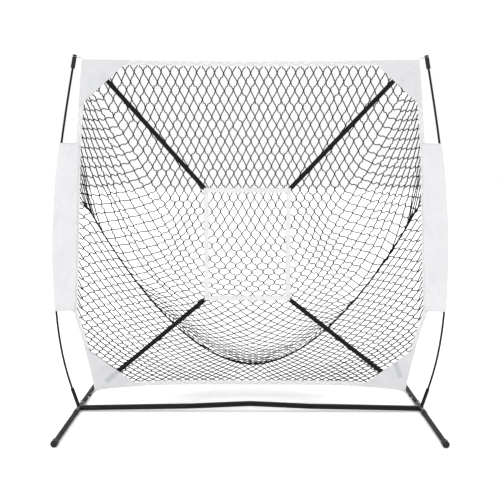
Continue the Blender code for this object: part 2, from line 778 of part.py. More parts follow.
def corner_elastic(name, side):
    """Elastic cord tied round the leg behind its sleeve."""
    knot, along, _ = tie_line(side)
    ring = LEG_RADIUS + CLEARANCE + ELASTIC_DIAMETER / 2
    centre = Vector((hub_point(side).x, knot.y, AXIS_HEIGHT))
    bpy.ops.mesh.primitive_torus_add(
        major_segments=20, minor_segments=8, major_radius=ring, minor_radius=ELASTIC_DIAMETER / 2,
        location=centre, rotation=(math.pi / 2, 0, 0),
    )
    loop = bpy.context.object
    for owner in list(loop.users_collection):
        owner.objects.unlink(loop)
    loop.name = loop.data.name = name
    cord = rod(name + "_cord", knot, knot + along * ELASTIC_LENGTH, ELASTIC_DIAMETER / 2, 8)
    bm = bmesh.new()
    bmesh.ops.create_uvsphere(
        bm, u_segments=10, v_segments=6, radius=KNOT_DIAMETER / 2, matrix=Matrix.Translation(knot)
    )
    return combine(loop, [from_bmesh(name + "_knot", bm), cord], "UNION")


def elastic_crimp(name, side):
    """A metal crimp round the end of the elastic."""
    knot, along, _ = tie_line(side)
    bore, radius = ELASTIC_DIAMETER / 2 + CLEARANCE, CRIMP_DIAMETER / 2
    edge = 0.0006
    profile = [
        (bore, CRIMP_LENGTH),
        (radius - edge, CRIMP_LENGTH),
        (radius, CRIMP_LENGTH - edge),
        (radius, edge),
        (radius - edge, 0),
        (bore, 0),
    ]
    start = knot + along * (ELASTIC_LENGTH - CRIMP_LENGTH)
    return turned(name, profile, start, along, 14, closed=True)


def hook_frame(side):
    """Where the hook starts, its axis, the way it curls and the way across it."""
    knot, along, _ = tie_line(side)
    across = along.cross(Vector((0, 0, 1))).normalized()
    curl = across.cross(along).normalized()
    return knot + along * (ELASTIC_LENGTH + CLEARANCE), along, curl, across


def corner_hook(name, side):
    """A moulded hook on the end of the elastic."""
    start, along, curl, _ = hook_frame(side)
    bend = start + along * (HOOK_BASE_LENGTH + HOOK_SHANK) + curl * HOOK_RADIUS
    path = [start + along * (HOOK_BASE_LENGTH / 2)]
    path += arc(bend, -curl, along, HOOK_RADIUS, 0, math.pi, 8)
    path.append(path[-1] - along * HOOK_TIP)
    wire = as_mesh(bent_rod(name, path, HOOK_WIRE / 2))
    base = rod(name + "_base", start, start + along * HOOK_BASE_LENGTH, HOOK_BASE_DIAMETER / 2, 12)
    return combine(wire, [base], "UNION")


def hem_loop(name, side):
    """A white cord from the hem's corner round the hook."""
    start, along, curl, across = hook_frame(side)
    _, _, corner = tie_line(side)
    crook = start + along * (HOOK_BASE_LENGTH + HOOK_SHANK + HOOK_RADIUS) + curl * HOOK_RADIUS
    radius = HOOK_WIRE / 2 + CLEARANCE + LOOP_DIAMETER / 2
    end = corner - Vector((0, 0, CLEARANCE + LOOP_DIAMETER / 2))
    round_hook = arc(crook, across, -along, radius, 0, math.pi, 8)
    path = [end + across * LOOP_SPREAD] + round_hook + [end - across * LOOP_SPREAD]
    return bent_rod(name, path, LOOP_DIAMETER / 2)


def cap_loop(name, side):
    """A thin white cord from the hem's top corner round the groove of the pole's cap."""
    axis = pole_axis(side)
    middle = TOP_CAP_GROOVE_DROP + TOP_CAP_GROOVE_WIDTH / 2
    centre = pole_tip(side) - axis * middle
    inward = Vector((0, side, 0)).cross(axis).normalized() * -1
    across = Vector((0, 1, 0))
    radius = TOP_CAP_GROOVE_DIAMETER / 2 + CLEARANCE + LOOP_DIAMETER / 2
    hem = Vector((side * side_edge(centre.z - HEM_WIDTH), 0, 0)).x
    reach = abs(centre.x - hem) - CLEARANCE - LOOP_DIAMETER / 2
    tangent = math.acos(radius / reach)
    round_cap = arc(centre, inward, across, radius, tangent, 2 * math.pi - tangent, 12)
    end = centre + inward * reach
    path = [end + across * LOOP_SPREAD] + round_cap + [end - across * LOOP_SPREAD]
    return bent_rod(name, path, LOOP_DIAMETER / 2)


# ---------------------------------------------------------------- assembly


def build_base():
    keep(center_crossbar(), "black_steel")
    weldment = keep(base_weldment("right_base_weldment"), "black_steel")
    keep(half_turn(weldment, "left_base_weldment"), "black_steel")
    for side_name, side in SIDES.items():
        for end_name, end in ENDS.items():
            place = f"{end_name}_{side_name}"
            keep(leg_tube(f"{place}_leg", side, end), "black_steel")
            keep(foot_cap(f"{place}_foot_cap", side, end), "black_plastic")
            keep(snap_button(f"{place}_snap_button", side, end), "bright_steel")
            keep(button_spring(f"{place}_button_spring", side, end), "spring_steel")


def build_poles():
    top = POLE_TOP[0] - (TOP_CAP_ROOF + CLEARANCE) * pole_axis(1).z
    breaks = [POLE_START_HEIGHT, *POLE_JOINTS, top]
    for side_name, side in SIDES.items():
        for i, part in enumerate(("lower", "middle", "upper")):
            low = breaks[i] + (CLEARANCE if i else 0)
            keep(pole_section(f"{side_name}_{part}_pole", side, low, breaks[i + 1]), "fibreglass")
        for part, height in zip(("lower", "upper"), POLE_JOINTS):
            keep(ferrule(f"{side_name}_{part}_ferrule", side, height), "aluminium")
        keep(top_cap(f"{side_name}_top_cap", side), "black_plastic")


def build_net():
    keep(pocket_net(), "net_cord")
    keep(cross_hem("top_hem", top_edge, HEM_TOP_CORNER, -1), "white_fabric")
    keep(cross_hem("bottom_hem", bottom_edge, HEM_BOTTOM_CORNER, 1), "white_fabric")
    for strip in zone_frame():
        keep(strip, "white_webbing")
    zone_top = ZONE_BOTTOM + ZONE_HEIGHT
    for side_name, side in SIDES.items():
        keep(side_hem(f"{side_name}_hem", side), "white_fabric")
        keep(pole_sleeve(f"{side_name}_pole_sleeve", side), "white_fabric")
        keep(corner_patch(f"top_{side_name}_patch", side, top_edge, HEM_TOP_CORNER, -1), "white_fabric")
        keep(corner_patch(f"bottom_{side_name}_patch", side, bottom_edge, HEM_BOTTOM_CORNER, 1), "white_fabric")
        keep(
            corner_strap(f"top_{side_name}_strap", side, HEM_TOP_CORNER, zone_top, STRAP_INSET_TOP, -1),
            "black_webbing",
        )
        keep(
            corner_strap(f"bottom_{side_name}_strap", side, HEM_BOTTOM_CORNER, ZONE_BOTTOM, STRAP_INSET_BOTTOM, 1),
            "black_webbing",
        )


def build_ties():
    for side_name, side in SIDES.items():
        keep(corner_elastic(f"{side_name}_corner_elastic", side), "black_elastic")
        keep(elastic_crimp(f"{side_name}_elastic_crimp", side), "bright_steel")
        keep(corner_hook(f"{side_name}_corner_hook", side), "black_plastic")
        keep(hem_loop(f"{side_name}_hem_loop", side), "white_cord")
        keep(cap_loop(f"{side_name}_cap_loop", side), "white_cord")


build_base()
build_poles()
build_net()
build_ties()
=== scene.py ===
"""Looks for a bow-frame pitching target: net, fabric, webbing, ties, finishes, floor, light and camera.

Metres, +Z up, the thrower at -Y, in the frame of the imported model.
"""

import math

import bpy
import numpy as np
from mathutils import Matrix, Vector
from mathutils.bvhtree import BVHTree


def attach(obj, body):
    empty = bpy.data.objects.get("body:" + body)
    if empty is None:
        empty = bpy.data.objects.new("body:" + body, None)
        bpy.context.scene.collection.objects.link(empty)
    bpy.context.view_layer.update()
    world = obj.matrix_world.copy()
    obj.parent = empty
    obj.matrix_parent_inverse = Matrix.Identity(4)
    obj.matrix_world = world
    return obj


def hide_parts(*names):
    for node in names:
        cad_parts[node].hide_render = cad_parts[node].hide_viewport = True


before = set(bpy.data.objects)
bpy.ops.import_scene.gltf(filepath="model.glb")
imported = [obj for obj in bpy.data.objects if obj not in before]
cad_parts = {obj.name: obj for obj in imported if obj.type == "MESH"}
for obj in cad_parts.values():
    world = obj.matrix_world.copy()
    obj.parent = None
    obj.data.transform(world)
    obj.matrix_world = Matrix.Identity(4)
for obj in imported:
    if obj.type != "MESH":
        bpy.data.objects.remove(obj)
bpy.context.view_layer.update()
BODY = "target"
SIDES = (("left", -1), ("right", 1))


def in_scene(name, data):
    """A new object, linked to the scene."""
    made = bpy.data.objects.new(name, data)
    bpy.context.scene.collection.objects.link(made)
    return made


# ---- camera

IMAGE_SIZE = 500
FOCAL_PIXELS = 779.97
HALF_IMAGE = IMAGE_SIZE / 2
SENSOR_WIDTH = 36.0
CAMERA_PLACE = Vector((-0.0014, -3.3798, 1.099))
CAMERA_PITCH = math.radians(6.353)
CAMERA_ROLL = math.radians(0.0983)
PITCH_COS, PITCH_SIN = math.cos(CAMERA_PITCH), math.sin(CAMERA_PITCH)
ROLL_COS, ROLL_SIN = math.cos(CAMERA_ROLL), math.sin(CAMERA_ROLL)

camera_data = bpy.data.cameras.new("camera")
camera_data.sensor_width = SENSOR_WIDTH
camera_data.lens = FOCAL_PIXELS * SENSOR_WIDTH / IMAGE_SIZE
camera = in_scene("camera", camera_data)
camera.matrix_world = (
    Matrix.Translation(CAMERA_PLACE)
    @ Matrix.Rotation(math.pi / 2 - CAMERA_PITCH, 4, "X")
    @ Matrix.Rotation(CAMERA_ROLL, 4, "Z")
)
bpy.context.scene.camera = camera


def in_picture(points):
    """Picture columns and rows of world points."""
    away = np.atleast_2d(points) - np.array(CAMERA_PLACE)
    forward = np.array([0, PITCH_COS, -PITCH_SIN])
    upward = np.array([0, PITCH_SIN, PITCH_COS])
    x, y, depth = away[:, 0], away @ upward, away @ forward
    across = x * ROLL_COS + y * ROLL_SIN
    up = y * ROLL_COS - x * ROLL_SIN
    return HALF_IMAGE + FOCAL_PIXELS * across / depth, HALF_IMAGE - FOCAL_PIXELS * up / depth


def on_ray(column, row, y):
    """World points at a given Y, on the rays through places of the picture."""
    a, b = (column - HALF_IMAGE) / FOCAL_PIXELS, (HALF_IMAGE - row) / FOCAL_PIXELS
    x = a * ROLL_COS - b * ROLL_SIN
    up = a * ROLL_SIN + b * ROLL_COS
    dy = PITCH_COS + up * PITCH_SIN
    dz = up * PITCH_COS - PITCH_SIN
    t = (y - CAMERA_PLACE.y) / dy
    return np.stack([CAMERA_PLACE.x + x * t, y + 0 * x, CAMERA_PLACE.z + dz * t], -1)


# ---- sizes repeated from the part

HUB_HALF_SPAN = 0.762
FOOT_CAP_RADIUS = 0.014
FOOT_CAP_SIDES = 24
AXIS_HEIGHT = FOOT_CAP_RADIUS * math.cos(math.pi / FOOT_CAP_SIDES)
POLE_LEAN = 0.33
SOCKET_TOP = 0.103
POLE_FOOT = (SOCKET_TOP, HUB_HALF_SPAN + (SOCKET_TOP - AXIS_HEIGHT) * POLE_LEAN)
POLE_WIDE = (0.66, 0.858)
POLE_TOP = (1.5555, 0.7455, -0.19)
CAP_LENGTH = 0.058
POLE_MOUTH = (POLE_TOP[0] - CAP_LENGTH, POLE_TOP[1] - CAP_LENGTH * POLE_TOP[2], POLE_TOP[2])
CLEARANCE = 0.0003
HEM_WIDTH = 0.020
HEM_THICKNESS = 0.003
HEM_TOP_SAG = 0.008
HEM_BOTTOM_RISE = 0.028
HEM_BOTTOM = (0.0925, HUB_HALF_SPAN - 0.072)
HEM_BOTTOM_SLOPE = 0.19
HEM_KNEE_SLOPE = 0.36
HEM_KNEE_TURN = 1.5
PATCH_LEG = 0.200
PATCH_Y = -0.0022
SLEEVE_LAP = 0.012
WRAP_RADIUS = 0.0073
FABRIC = 0.001
WEBBING_WIDTH = 0.020
WEBBING_THICKNESS = 0.0014
ZONE_WIDTH = 0.376
ZONE_BOTTOM = 0.5005
ZONE_TOP = 0.9925
ZONE_SHIFT = -0.013
STRAP_Y = -0.0008
ZONE_BACK_Y = 0.0009
ZONE_FRONT_Y = -0.0025
STRAP_INSETS = {"top": (0.032, 0.009), "bottom": (0.030, 0.0145)}
NET_ACROSS = 37
NET_UP = 36


def hermite(at, low, high):
    """A smooth curve between two (place, value, slope) stations."""
    span = high[0] - low[0]
    t = (at - low[0]) / span
    rise = low[1] * (2 * t**3 - 3 * t**2 + 1) + high[1] * (3 * t**2 - 2 * t**3)
    return rise + span * (low[2] * (t**3 - 2 * t**2 + t) + high[2] * (t**3 - t**2))


def pole_offset(height):
    """How far from the middle the pole's axis is at a height."""
    foot, wide = (*POLE_FOOT, POLE_LEAN), (*POLE_WIDE, 0.0)
    if height <= foot[0]:
        return foot[1] + (height - foot[0]) * POLE_LEAN
    if height <= wide[0]:
        return hermite(height, foot, wide)
    if height <= POLE_MOUTH[0]:
        return hermite(height, wide, POLE_MOUTH)
    return POLE_TOP[1] + (height - POLE_TOP[0]) * POLE_TOP[2]


def beside_pole(height, gap):
    """A (height, distance from the middle) of the net's side edge, by its gap to the pole's axis."""
    return height, pole_offset(height) - gap


HEM_TOP = beside_pole(1.536, gap=0.0332)
HEM_SHOULDER = beside_pole(1.184, gap=0.0642)
HEM_KNEE = beside_pole(0.452, gap=0.0711)


def side_edge(height):
    """How far from the middle the net's side edge is at a height."""
    middle = (HEM_SHOULDER[1] - HEM_KNEE[1]) / (HEM_SHOULDER[0] - HEM_KNEE[0])
    top = (HEM_TOP[1] - HEM_SHOULDER[1]) / (HEM_TOP[0] - HEM_SHOULDER[0])
    if height <= HEM_KNEE[0]:
        return hermite(height, (*HEM_BOTTOM, HEM_BOTTOM_SLOPE), (*HEM_KNEE, HEM_KNEE_SLOPE))
    if height <= HEM_SHOULDER[0]:
        return hermite(height, (*HEM_KNEE, HEM_KNEE_TURN * middle), (*HEM_SHOULDER, middle))
    return hermite(height, (*HEM_SHOULDER, top), (*HEM_TOP, top))


def top_edge(x):
    """Height of the net's top edge, which sags a little."""
    return HEM_TOP[0] - HEM_TOP_SAG * (1 - (x / HEM_TOP[1]) ** 2)


def bottom_edge(x):
    """Height of the net's bottom edge, which the pocket lifts in the middle."""
    return HEM_BOTTOM[0] + HEM_BOTTOM_RISE * (1 - (x / HEM_BOTTOM[1]) ** 4)


# ---- materials


class Nodes:
    """Short ways to add and join shader nodes."""

    def __init__(self, name):
        self.material = bpy.data.materials.new(name)
        self.material.use_nodes = True
        self.tree = self.material.node_tree
        self.shader = self.tree.nodes["Principled BSDF"]
        self.object_space = self.tree.nodes.new("ShaderNodeTexCoord").outputs["Object"]
        self.bump = None

    def add(self, kind, **values):
        made = self.tree.nodes.new(kind)
        for key, value in values.items():
            if key in made.inputs.keys():
                self.join(made.inputs[key], value)
            else:
                setattr(made, key, value)
        return made

    def join(self, socket, value):
        if isinstance(value, bpy.types.NodeSocket):
            self.tree.links.new(value, socket)
        else:
            socket.default_value = value

    def math(self, operation, a, b=0.0):
        made = self.tree.nodes.new("ShaderNodeMath")
        made.operation = operation
        self.join(made.inputs[0], a)
        self.join(made.inputs[1], b)
        return made.outputs[0]

    def noise(self, scale, detail=3.0, vector=None):
        made = self.add("ShaderNodeTexNoise", Scale=scale, Detail=detail)
        self.join(made.inputs["Vector"], vector or self.object_space)
        return made.outputs["Fac"]

    def sheet_place(self):
        """Metres along and across a sheet, from its own map."""
        made = self.add("ShaderNodeUVMap", uv_map="sheet")
        parts = self.add("ShaderNodeSeparateXYZ", Vector=made.outputs["UV"])
        return parts.outputs["X"], parts.outputs["Y"]

    def ripple(self, place, period):
        """A smooth wave, 0 to 1, of one period in metres."""
        turn = self.math("MULTIPLY", place, 2 * math.pi / period)
        return self.math("ADD", self.math("MULTIPLY", self.math("SINE", turn), 0.5), 0.5)

    def mix(self, share, first, second):
        made = self.add("ShaderNodeMix", data_type="RGBA")
        self.join(made.inputs["Factor"], share)
        self.join(made.inputs[6], first)
        self.join(made.inputs[7], second)
        return made.outputs[2]

    def raise_by(self, height, strength, distance):
        made = self.add("ShaderNodeBump", Strength=strength, Distance=distance, Height=height)
        if self.bump:
            self.join(made.inputs["Normal"], self.bump)
        self.bump = made.outputs["Normal"]
        self.join(self.shader.inputs["Normal"], self.bump)

    def ramp(self, value, low, high, start=0.0, end=1.0):
        """Value mapped from low..high to start..end."""
        made = self.add("ShaderNodeMapRange", Value=value)
        limits = {"From Min": low, "From Max": high, "To Min": start, "To Max": end}
        for key, limit in limits.items():
            made.inputs[key].default_value = limit
        return made.outputs["Result"]

    def finish(self, colour, roughness, gloss, *bumps):
        """Set the main sockets, and bumps as (height, strength, distance)."""
        self.join(self.shader.inputs["Base Color"], colour)
        self.join(self.shader.inputs["Roughness"], roughness)
        self.shader.inputs["Specular IOR Level"].default_value = gloss
        for bump in bumps:
            self.raise_by(*bump)
        return self.material


def shade(colour, factor):
    return (colour[0] * factor, colour[1] * factor, colour[2] * factor, 1.0)


def coated_steel(name, colour, roughness, gloss):
    """Powder coat: fine orange peel, faint scuffs and a little dust in the gloss."""
    n = Nodes(name)
    scuff = n.noise(38.0, 6.0)
    speck = n.noise(900.0, 2.0)
    base = n.mix(n.ramp(scuff, 0.35, 0.7), shade(colour, 0.85), shade(colour, 1.3))
    rough = n.ramp(scuff, 0.3, 0.75, roughness - 0.05, roughness + 0.12)
    return n.finish(base, rough, gloss, (speck, 0.07, 0.0002), (scuff, 0.04, 0.0004))


def moulded(name, colour, roughness):
    """Moulded plastic: spark-eroded grain and slight flow marks."""
    n = Nodes(name)
    grain = n.noise(1400.0, 2.0)
    flow = n.noise(60.0, 4.0)
    base = n.mix(flow, shade(colour, 0.8), shade(colour, 1.3))
    rough = n.ramp(flow, 0.3, 0.7, roughness - 0.06, roughness + 0.1)
    return n.finish(base, rough, 0.3, (grain, 0.3, 0.0002))


def metal(name, colour, roughness, brushed=0.0):
    """Plated or drawn metal with fine draw lines and tarnish."""
    n = Nodes(name)
    tarnish = n.noise(120.0, 5.0)
    fine = n.noise(2200.0, 2.0)
    n.shader.inputs["Metallic"].default_value = 1.0
    base = n.mix(n.ramp(tarnish, 0.35, 0.7), shade(colour, 1.0), shade(colour, 0.75))
    rough = n.ramp(tarnish, 0.3, 0.7, roughness, roughness + 0.15)
    return n.finish(base, rough, 0.5, (fine, 0.15 + brushed, 0.0001))


def glass_rod(name, colour):
    """Pultruded fibreglass: long fibres under a thin resin skin."""
    n = Nodes(name)
    stretch = n.add("ShaderNodeMapping", Vector=n.object_space)
    stretch.inputs["Scale"].default_value = (900.0, 900.0, 14.0)
    fibre = n.noise(1.0, 4.0, stretch.outputs["Vector"])
    resin_wear_and_painted_cloth_shade = n.noise(22.0, 4.0)
    base = n.mix(fibre, shade(colour, 0.75), shade(colour, 1.5))
    return n.finish(base, n.ramp(resin_wear_and_painted_cloth_shade, 0.3, 0.7, 0.22, 0.42), 0.2, (fibre, 0.2, 0.0002))


STITCH_WIDTH = 0.0012
STITCH_PITCH = 0.0034
STITCH_SHARE = 0.72


def woven(
    name, colour, period, roughness=0.85, weave=0.35, crease=0.25, stitches=(), ribs=1.0, sheen=0.12
):
    """Woven cloth: threads both ways, soft creases, and stitch lines at (place across, shade)."""
    n = Nodes(name)
    along, across = n.sheet_place()
    thread = n.math("MAXIMUM", n.ripple(across, period * ribs), n.ripple(along, period))
    cloud = n.noise(9.0, 5.0)
    fuzz = n.noise(700.0, 3.0)
    base = n.mix(n.ramp(cloud, 0.35, 0.7), shade(colour, 1.0), shade(colour, 0.94))
    # Painted shade between the threads: darker where neither thread crosses.
    base = n.mix(n.ramp(thread, 0.0, 0.6, 0.35, 0.0), base, shade(colour, 0.72))
    # Darker towards a cool grey by the tone attribute: the net's cord, the strap band and sewn crosses, and
    # painted shade on folds, puckers and seams.
    resin_wear_and_painted_cloth_shade = n.add("ShaderNodeAttribute", attribute_name="tone").outputs["Fac"]
    base = n.mix(resin_wear_and_painted_cloth_shade, base, shade((colour[0] * 0.93, colour[1] * 0.96, colour[2]), 0.62))
    for place, tint in stitches:
        away = n.math("ABSOLUTE", n.math("SUBTRACT", across, place))
        line = n.math("LESS_THAN", away, STITCH_WIDTH / 2)
        dash = n.math("LESS_THAN", n.math("FRACT", n.math("DIVIDE", along, STITCH_PITCH)), STITCH_SHARE)
        sewn = n.math("MULTIPLY", line, dash)
        base = n.mix(sewn, base, shade(colour, tint))
        n.raise_by(sewn, 0.5, 0.0004)
    rough = n.ramp(fuzz, 0.2, 0.8, roughness - 0.07, min(1.0, roughness + 0.08))
    n.shader.inputs["Sheen Weight"].default_value = sheen
    n.shader.inputs["Sheen Roughness"].default_value = 0.5
    soft = n.noise(26.0, 4.0)
    return n.finish(base, rough, 0.2, (thread, weave, 0.0003), (soft, crease, 0.004), (fuzz, 0.1, 0.0003))


def twine(name, colour, period, tint=1.6):
    """Twisted or braided cord: strands that wind round it, and a little fuzz."""
    n = Nodes(name)
    along, across = n.sheet_place()
    turn = n.math("ADD", n.math("DIVIDE", along, period), across)
    lay = n.math("ABSOLUTE", n.math("SINE", n.math("MULTIPLY", turn, 2 * math.pi)))
    cloud = n.noise(14.0, 4.0)
    # Painted shade in the grooves between the strands and painted highlight on their crowns.
    base = n.mix(lay, shade(colour, 0.55), shade(colour, tint))
    base = n.mix(n.ramp(cloud, 0.35, 0.7, 0.0, 0.5), base, shade(colour, 0.7))
    rough = n.ramp(cloud, 0.3, 0.7, 0.7, 0.85)
    return n.finish(base, rough, 0.15, (lay, 0.6, 0.0004), (n.noise(1500.0, 2.0), 0.2, 0.0002))


COAT = coated_steel("black_powder_coat", (0.0015, 0.0015, 0.0016), roughness=0.14, gloss=0.2)
# The legs' coat is lighter and warmer than the crossbar's: painted reflection of the bright surroundings.
LEG_COAT_PAINTED_SHEEN = coated_steel("leg_powder_coat", (0.021, 0.0195, 0.0175), roughness=0.6, gloss=0.12)
CAP_PLASTIC = moulded("cap_plastic", (0.0045, 0.0045, 0.005), roughness=0.5)
POLE_RESIN = glass_rod("pole_resin", (0.0025, 0.0025, 0.0028))
ALUMINIUM = metal("drawn_aluminium", (0.52, 0.53, 0.54), roughness=0.32, brushed=0.15)
NICKEL = metal("nickel_plate", (0.66, 0.66, 0.64), roughness=0.2)
SPRING = metal("spring_steel", (0.42, 0.42, 0.43), roughness=0.3, brushed=0.1)
HEM_STITCHES = ((0.0028, 0.86), (0.0172, 0.86))
HEM_CLOTH = woven("hem_cloth", (0.87, 0.87, 0.88), 0.0009, stitches=HEM_STITCHES)
PATCH_CLOTH = woven("patch_cloth", (0.76, 0.765, 0.785), 0.0008, crease=0.35)
SLEEVE_CLOTH = woven("sleeve_cloth", (0.83, 0.835, 0.85), 0.0009, crease=0.4)
WEBBING_WEAVE = {"period": 0.0016, "weave": 0.6, "crease": 0.1, "ribs": 2.2}
WEBBING_STITCHES = ((0.002, 0.8), (0.018, 0.8))
WHITE_WEBBING = woven(
    "white_webbing", (0.85, 0.855, 0.86), roughness=0.9, stitches=WEBBING_STITCHES, **WEBBING_WEAVE
)
BLACK_WEBBING = woven(
    "black_webbing", (0.0050, 0.0064, 0.0064), roughness=0.8, sheen=0.0, **WEBBING_WEAVE
)
NET_TWINE = twine("net_twine", (0.0065, 0.0056, 0.005), 0.008)
ELASTIC = twine("elastic_braid", (0.010, 0.010, 0.010), 0.003)
WHITE_CORD = twine("white_cord", (0.72, 0.70, 0.68), 0.004, tint=1.1)


# ---- mesh helpers


def placed(obj, material, slot, *nodes):
    """Give a finished piece its material and body, and hide the nodes that it stands for; the slot is not
    used.
    """
    obj.data.materials.append(material)
    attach(obj, BODY)
    if nodes:
        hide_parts(*nodes)


def mesh_object(name, points, faces, places, tones=None):
    """A mesh from arrays, with metres along and across as its map, and an optional tone per point."""
    mesh = bpy.data.meshes.new(name)
    mesh.from_pydata([tuple(p) for p in points], [], [tuple(f) for f in faces])
    mesh.shade_smooth()
    layer = mesh.uv_layers.new(name="sheet")
    loops = np.zeros(len(mesh.loops), np.int32)
    mesh.loops.foreach_get("vertex_index", loops)
    layer.data.foreach_set("uv", np.asarray(places, np.float32)[loops].ravel())
    if tones is not None:
        tone = mesh.attributes.new("tone", "FLOAT", "POINT")
        tone.data.foreach_set("value", np.asarray(tones, np.float32))
    return in_scene(name, mesh)


def unit(vectors):
    """Vectors brought to length 1."""
    return vectors / np.maximum(np.linalg.norm(vectors, axis=-1, keepdims=True), 1e-12)


def cloth(name, grid, thickness, places, tones):
    """A closed sheet from a grid of points: two layers and the edge between them."""
    rows, columns = grid.shape[:2]
    normal = unit(np.cross(np.gradient(grid, axis=1), np.gradient(grid, axis=0)))
    thick = np.broadcast_to(thickness, (rows, columns))[..., None]
    front, back = grid + normal * thick / 2, grid - normal * thick / 2
    points = np.concatenate([front.reshape(-1, 3), back.reshape(-1, 3)])
    index = np.arange(rows * columns).reshape(rows, columns)
    quads = np.stack([index[:-1, :-1], index[:-1, 1:], index[1:, 1:], index[1:, :-1]], -1)
    quads = quads.reshape(-1, 4)
    rim = np.concatenate([index[0, :], index[1:, -1], index[-1, -2::-1], index[-2:0:-1, 0]])
    after = np.roll(rim, -1)
    total = rows * columns
    edge = np.stack([rim, rim + total, after + total, after], -1)
    faces = np.concatenate([quads[:, ::-1], quads + total, edge[:, ::-1]])
    places = np.tile(places.reshape(-1, 2), (2, 1))
    return mesh_object(name, points, faces, places, np.tile(tones.reshape(-1), 2))


# Waves as (turns across, turns up, shift by seed, height), in radians per metre
WAVES = ((13.1, 7.3, 1.7, 1.0), (-9.7, 17.9, 2.9, 1.0), (31.3, -23.1, 4.1, 1.0), (57.0, 41.0, 5.3, 0.6))
WAVES_HEIGHT = 3.6


def wave_noise(x, z, seed):
    """A smooth repeatable ripple, about -1 to 1."""
    waves = (height * np.sin(a * x + b * z + shift * seed) for a, b, shift, height in WAVES)
    return sum(waves) / WAVES_HEIGHT


# ---- hems

MESH_PITCH_ACROSS = 2 * HEM_TOP[1] / NET_ACROSS
MESH_PITCH_UP = (HEM_TOP[0] - HEM_BOTTOM[0]) / NET_UP
HEM_POINTS_ACROSS = 15
HEM_SIDE_POINTS = 581
CORD_FOOT = 0.18
CORD_HALF_WIDTH = 0.09
HEM_SEAMS = (0.14, 0.86)
HEM_SEAM_HALF_WIDTH = 0.05
PUCKER_PERIOD = 0.013
HEM_SWAY = 0.0007
HEM_EDGE_PULL = 0.0008
HEM_EDGE_FROM = 0.9


def zigzag(along, pitch):
    """Where the border cord of the net runs across the hem, 0 to 1."""
    slip = 0.16 * np.sin(along * 43.0) + 0.10 * np.sin(along * 117.0 + 1.3)
    t = (along / pitch + slip) % 1.0
    height = 0.62 + 0.16 * np.sin(along * 71.0 + 0.6)
    return CORD_FOOT + height * np.abs(2 * t - 1)


def hem(name, outer, inner, lengths, pitch, seed):
    """A folded binding: rounded edges, the net's cord showing as a low zigzag, and puckers at the seams."""
    share = np.linspace(0, 1, HEM_POINTS_ACROSS)[None]
    outer, inner = np.array(outer), np.array(inner)
    grid = outer[:, None] * (1 - share)[..., None] + inner[:, None] * share[..., None]
    along = np.array(lengths)[:, None] + 0 * share
    cord = np.exp(-(((share - zigzag(along, pitch)) / CORD_HALF_WIDTH) ** 2))
    seam = sum(np.exp(-(((share - place) / HEM_SEAM_HALF_WIDTH) ** 2)) for place in HEM_SEAMS)
    pucker = np.sin(along * 2 * math.pi / PUCKER_PERIOD + 2.0 * np.sin(along * 31 + seed)) * seam
    body = np.sqrt(np.clip(1 - (2 * share - 1) ** 8, 0.02, 1))
    thick = HEM_THICKNESS * (0.30 + 0.38 * body + 0.30 * cord * body - 0.12 * seam + 0.05 * pucker)
    grid[..., 1] += HEM_SWAY * wave_noise(grid[..., 0] * 2.1, grid[..., 2] * 2.1, seed)
    edge_pull = HEM_EDGE_PULL * np.sin(along * 2 * math.pi / pitch) * (share > HEM_EDGE_FROM)
    grid += unit(inner - outer)[:, None] * edge_pull[..., None]
    places = np.stack([along, share * HEM_WIDTH + 0 * along], -1)
    # Tone: the net's cord showing through, and painted shade on the pucker crests and along the seams.
    tones = np.clip(0.62 * cord + 0.10 * (pucker > 0.5) + 0.08 * seam, 0, 1)
    return cloth(name, grid, thick, places, tones)


def build_hems():
    for name, edge, corner, inward, count, seed in (
        ("top", top_edge, HEM_TOP, -1, 561, 1.0),
        ("bottom", bottom_edge, HEM_BOTTOM, 1, 541, 2.0),
    ):
        reach = corner[1] - HEM_WIDTH - CLEARANCE
        xs = np.linspace(-reach, reach, count)
        outer = [(x, 0, edge(x)) for x in xs]
        inner = [(x, 0, edge(x) + inward * HEM_WIDTH) for x in xs]
        piece = hem(f"{name}_binding", outer, inner, xs + 1, MESH_PITCH_ACROSS, seed)
        placed(piece, HEM_CLOTH, "white_fabric", f"{name}_hem")
    for name, side in SIDES:
        zs = np.linspace(HEM_BOTTOM[0], HEM_TOP[0], HEM_SIDE_POINTS)
        outer = [(side * side_edge(z), 0, z) for z in zs]
        inner = [(side * (side_edge(z) - HEM_WIDTH), 0, z) for z in zs]
        piece = hem(f"{name}_binding", outer, inner, zs, MESH_PITCH_UP, 3.0 + side)
        placed(piece, HEM_CLOTH, "white_fabric", f"{name}_hem")


# ---- corner patches


PATCH_STEPS = 40
PATCH_TIP = 0.03
PATCH_THICKNESS = 0.0007
PATCH_LIFT = 0.0018
PATCH_HEM_SHARE = 0.10
STRAP_BAND_EDGE = 0.0012
STRAP_BAND_TONE = {"top": 0.0, "bottom": 0.55}


def strap_band(points, start, end):
    """How much a point lies over the strap that runs under the patch, 0 to 1."""
    start, end = np.array(start), np.array(end)
    run = end - start
    place = points[..., (0, 2)] - start
    away = np.abs(place[..., 0] * run[1] - place[..., 1] * run[0]) / np.linalg.norm(run)
    share = (place @ run) / (run @ run)
    inside = 1 / (1 + np.exp((away - WEBBING_WIDTH / 2) / STRAP_BAND_EDGE))
    return inside * (share > -0.5) * (share < 1.0)


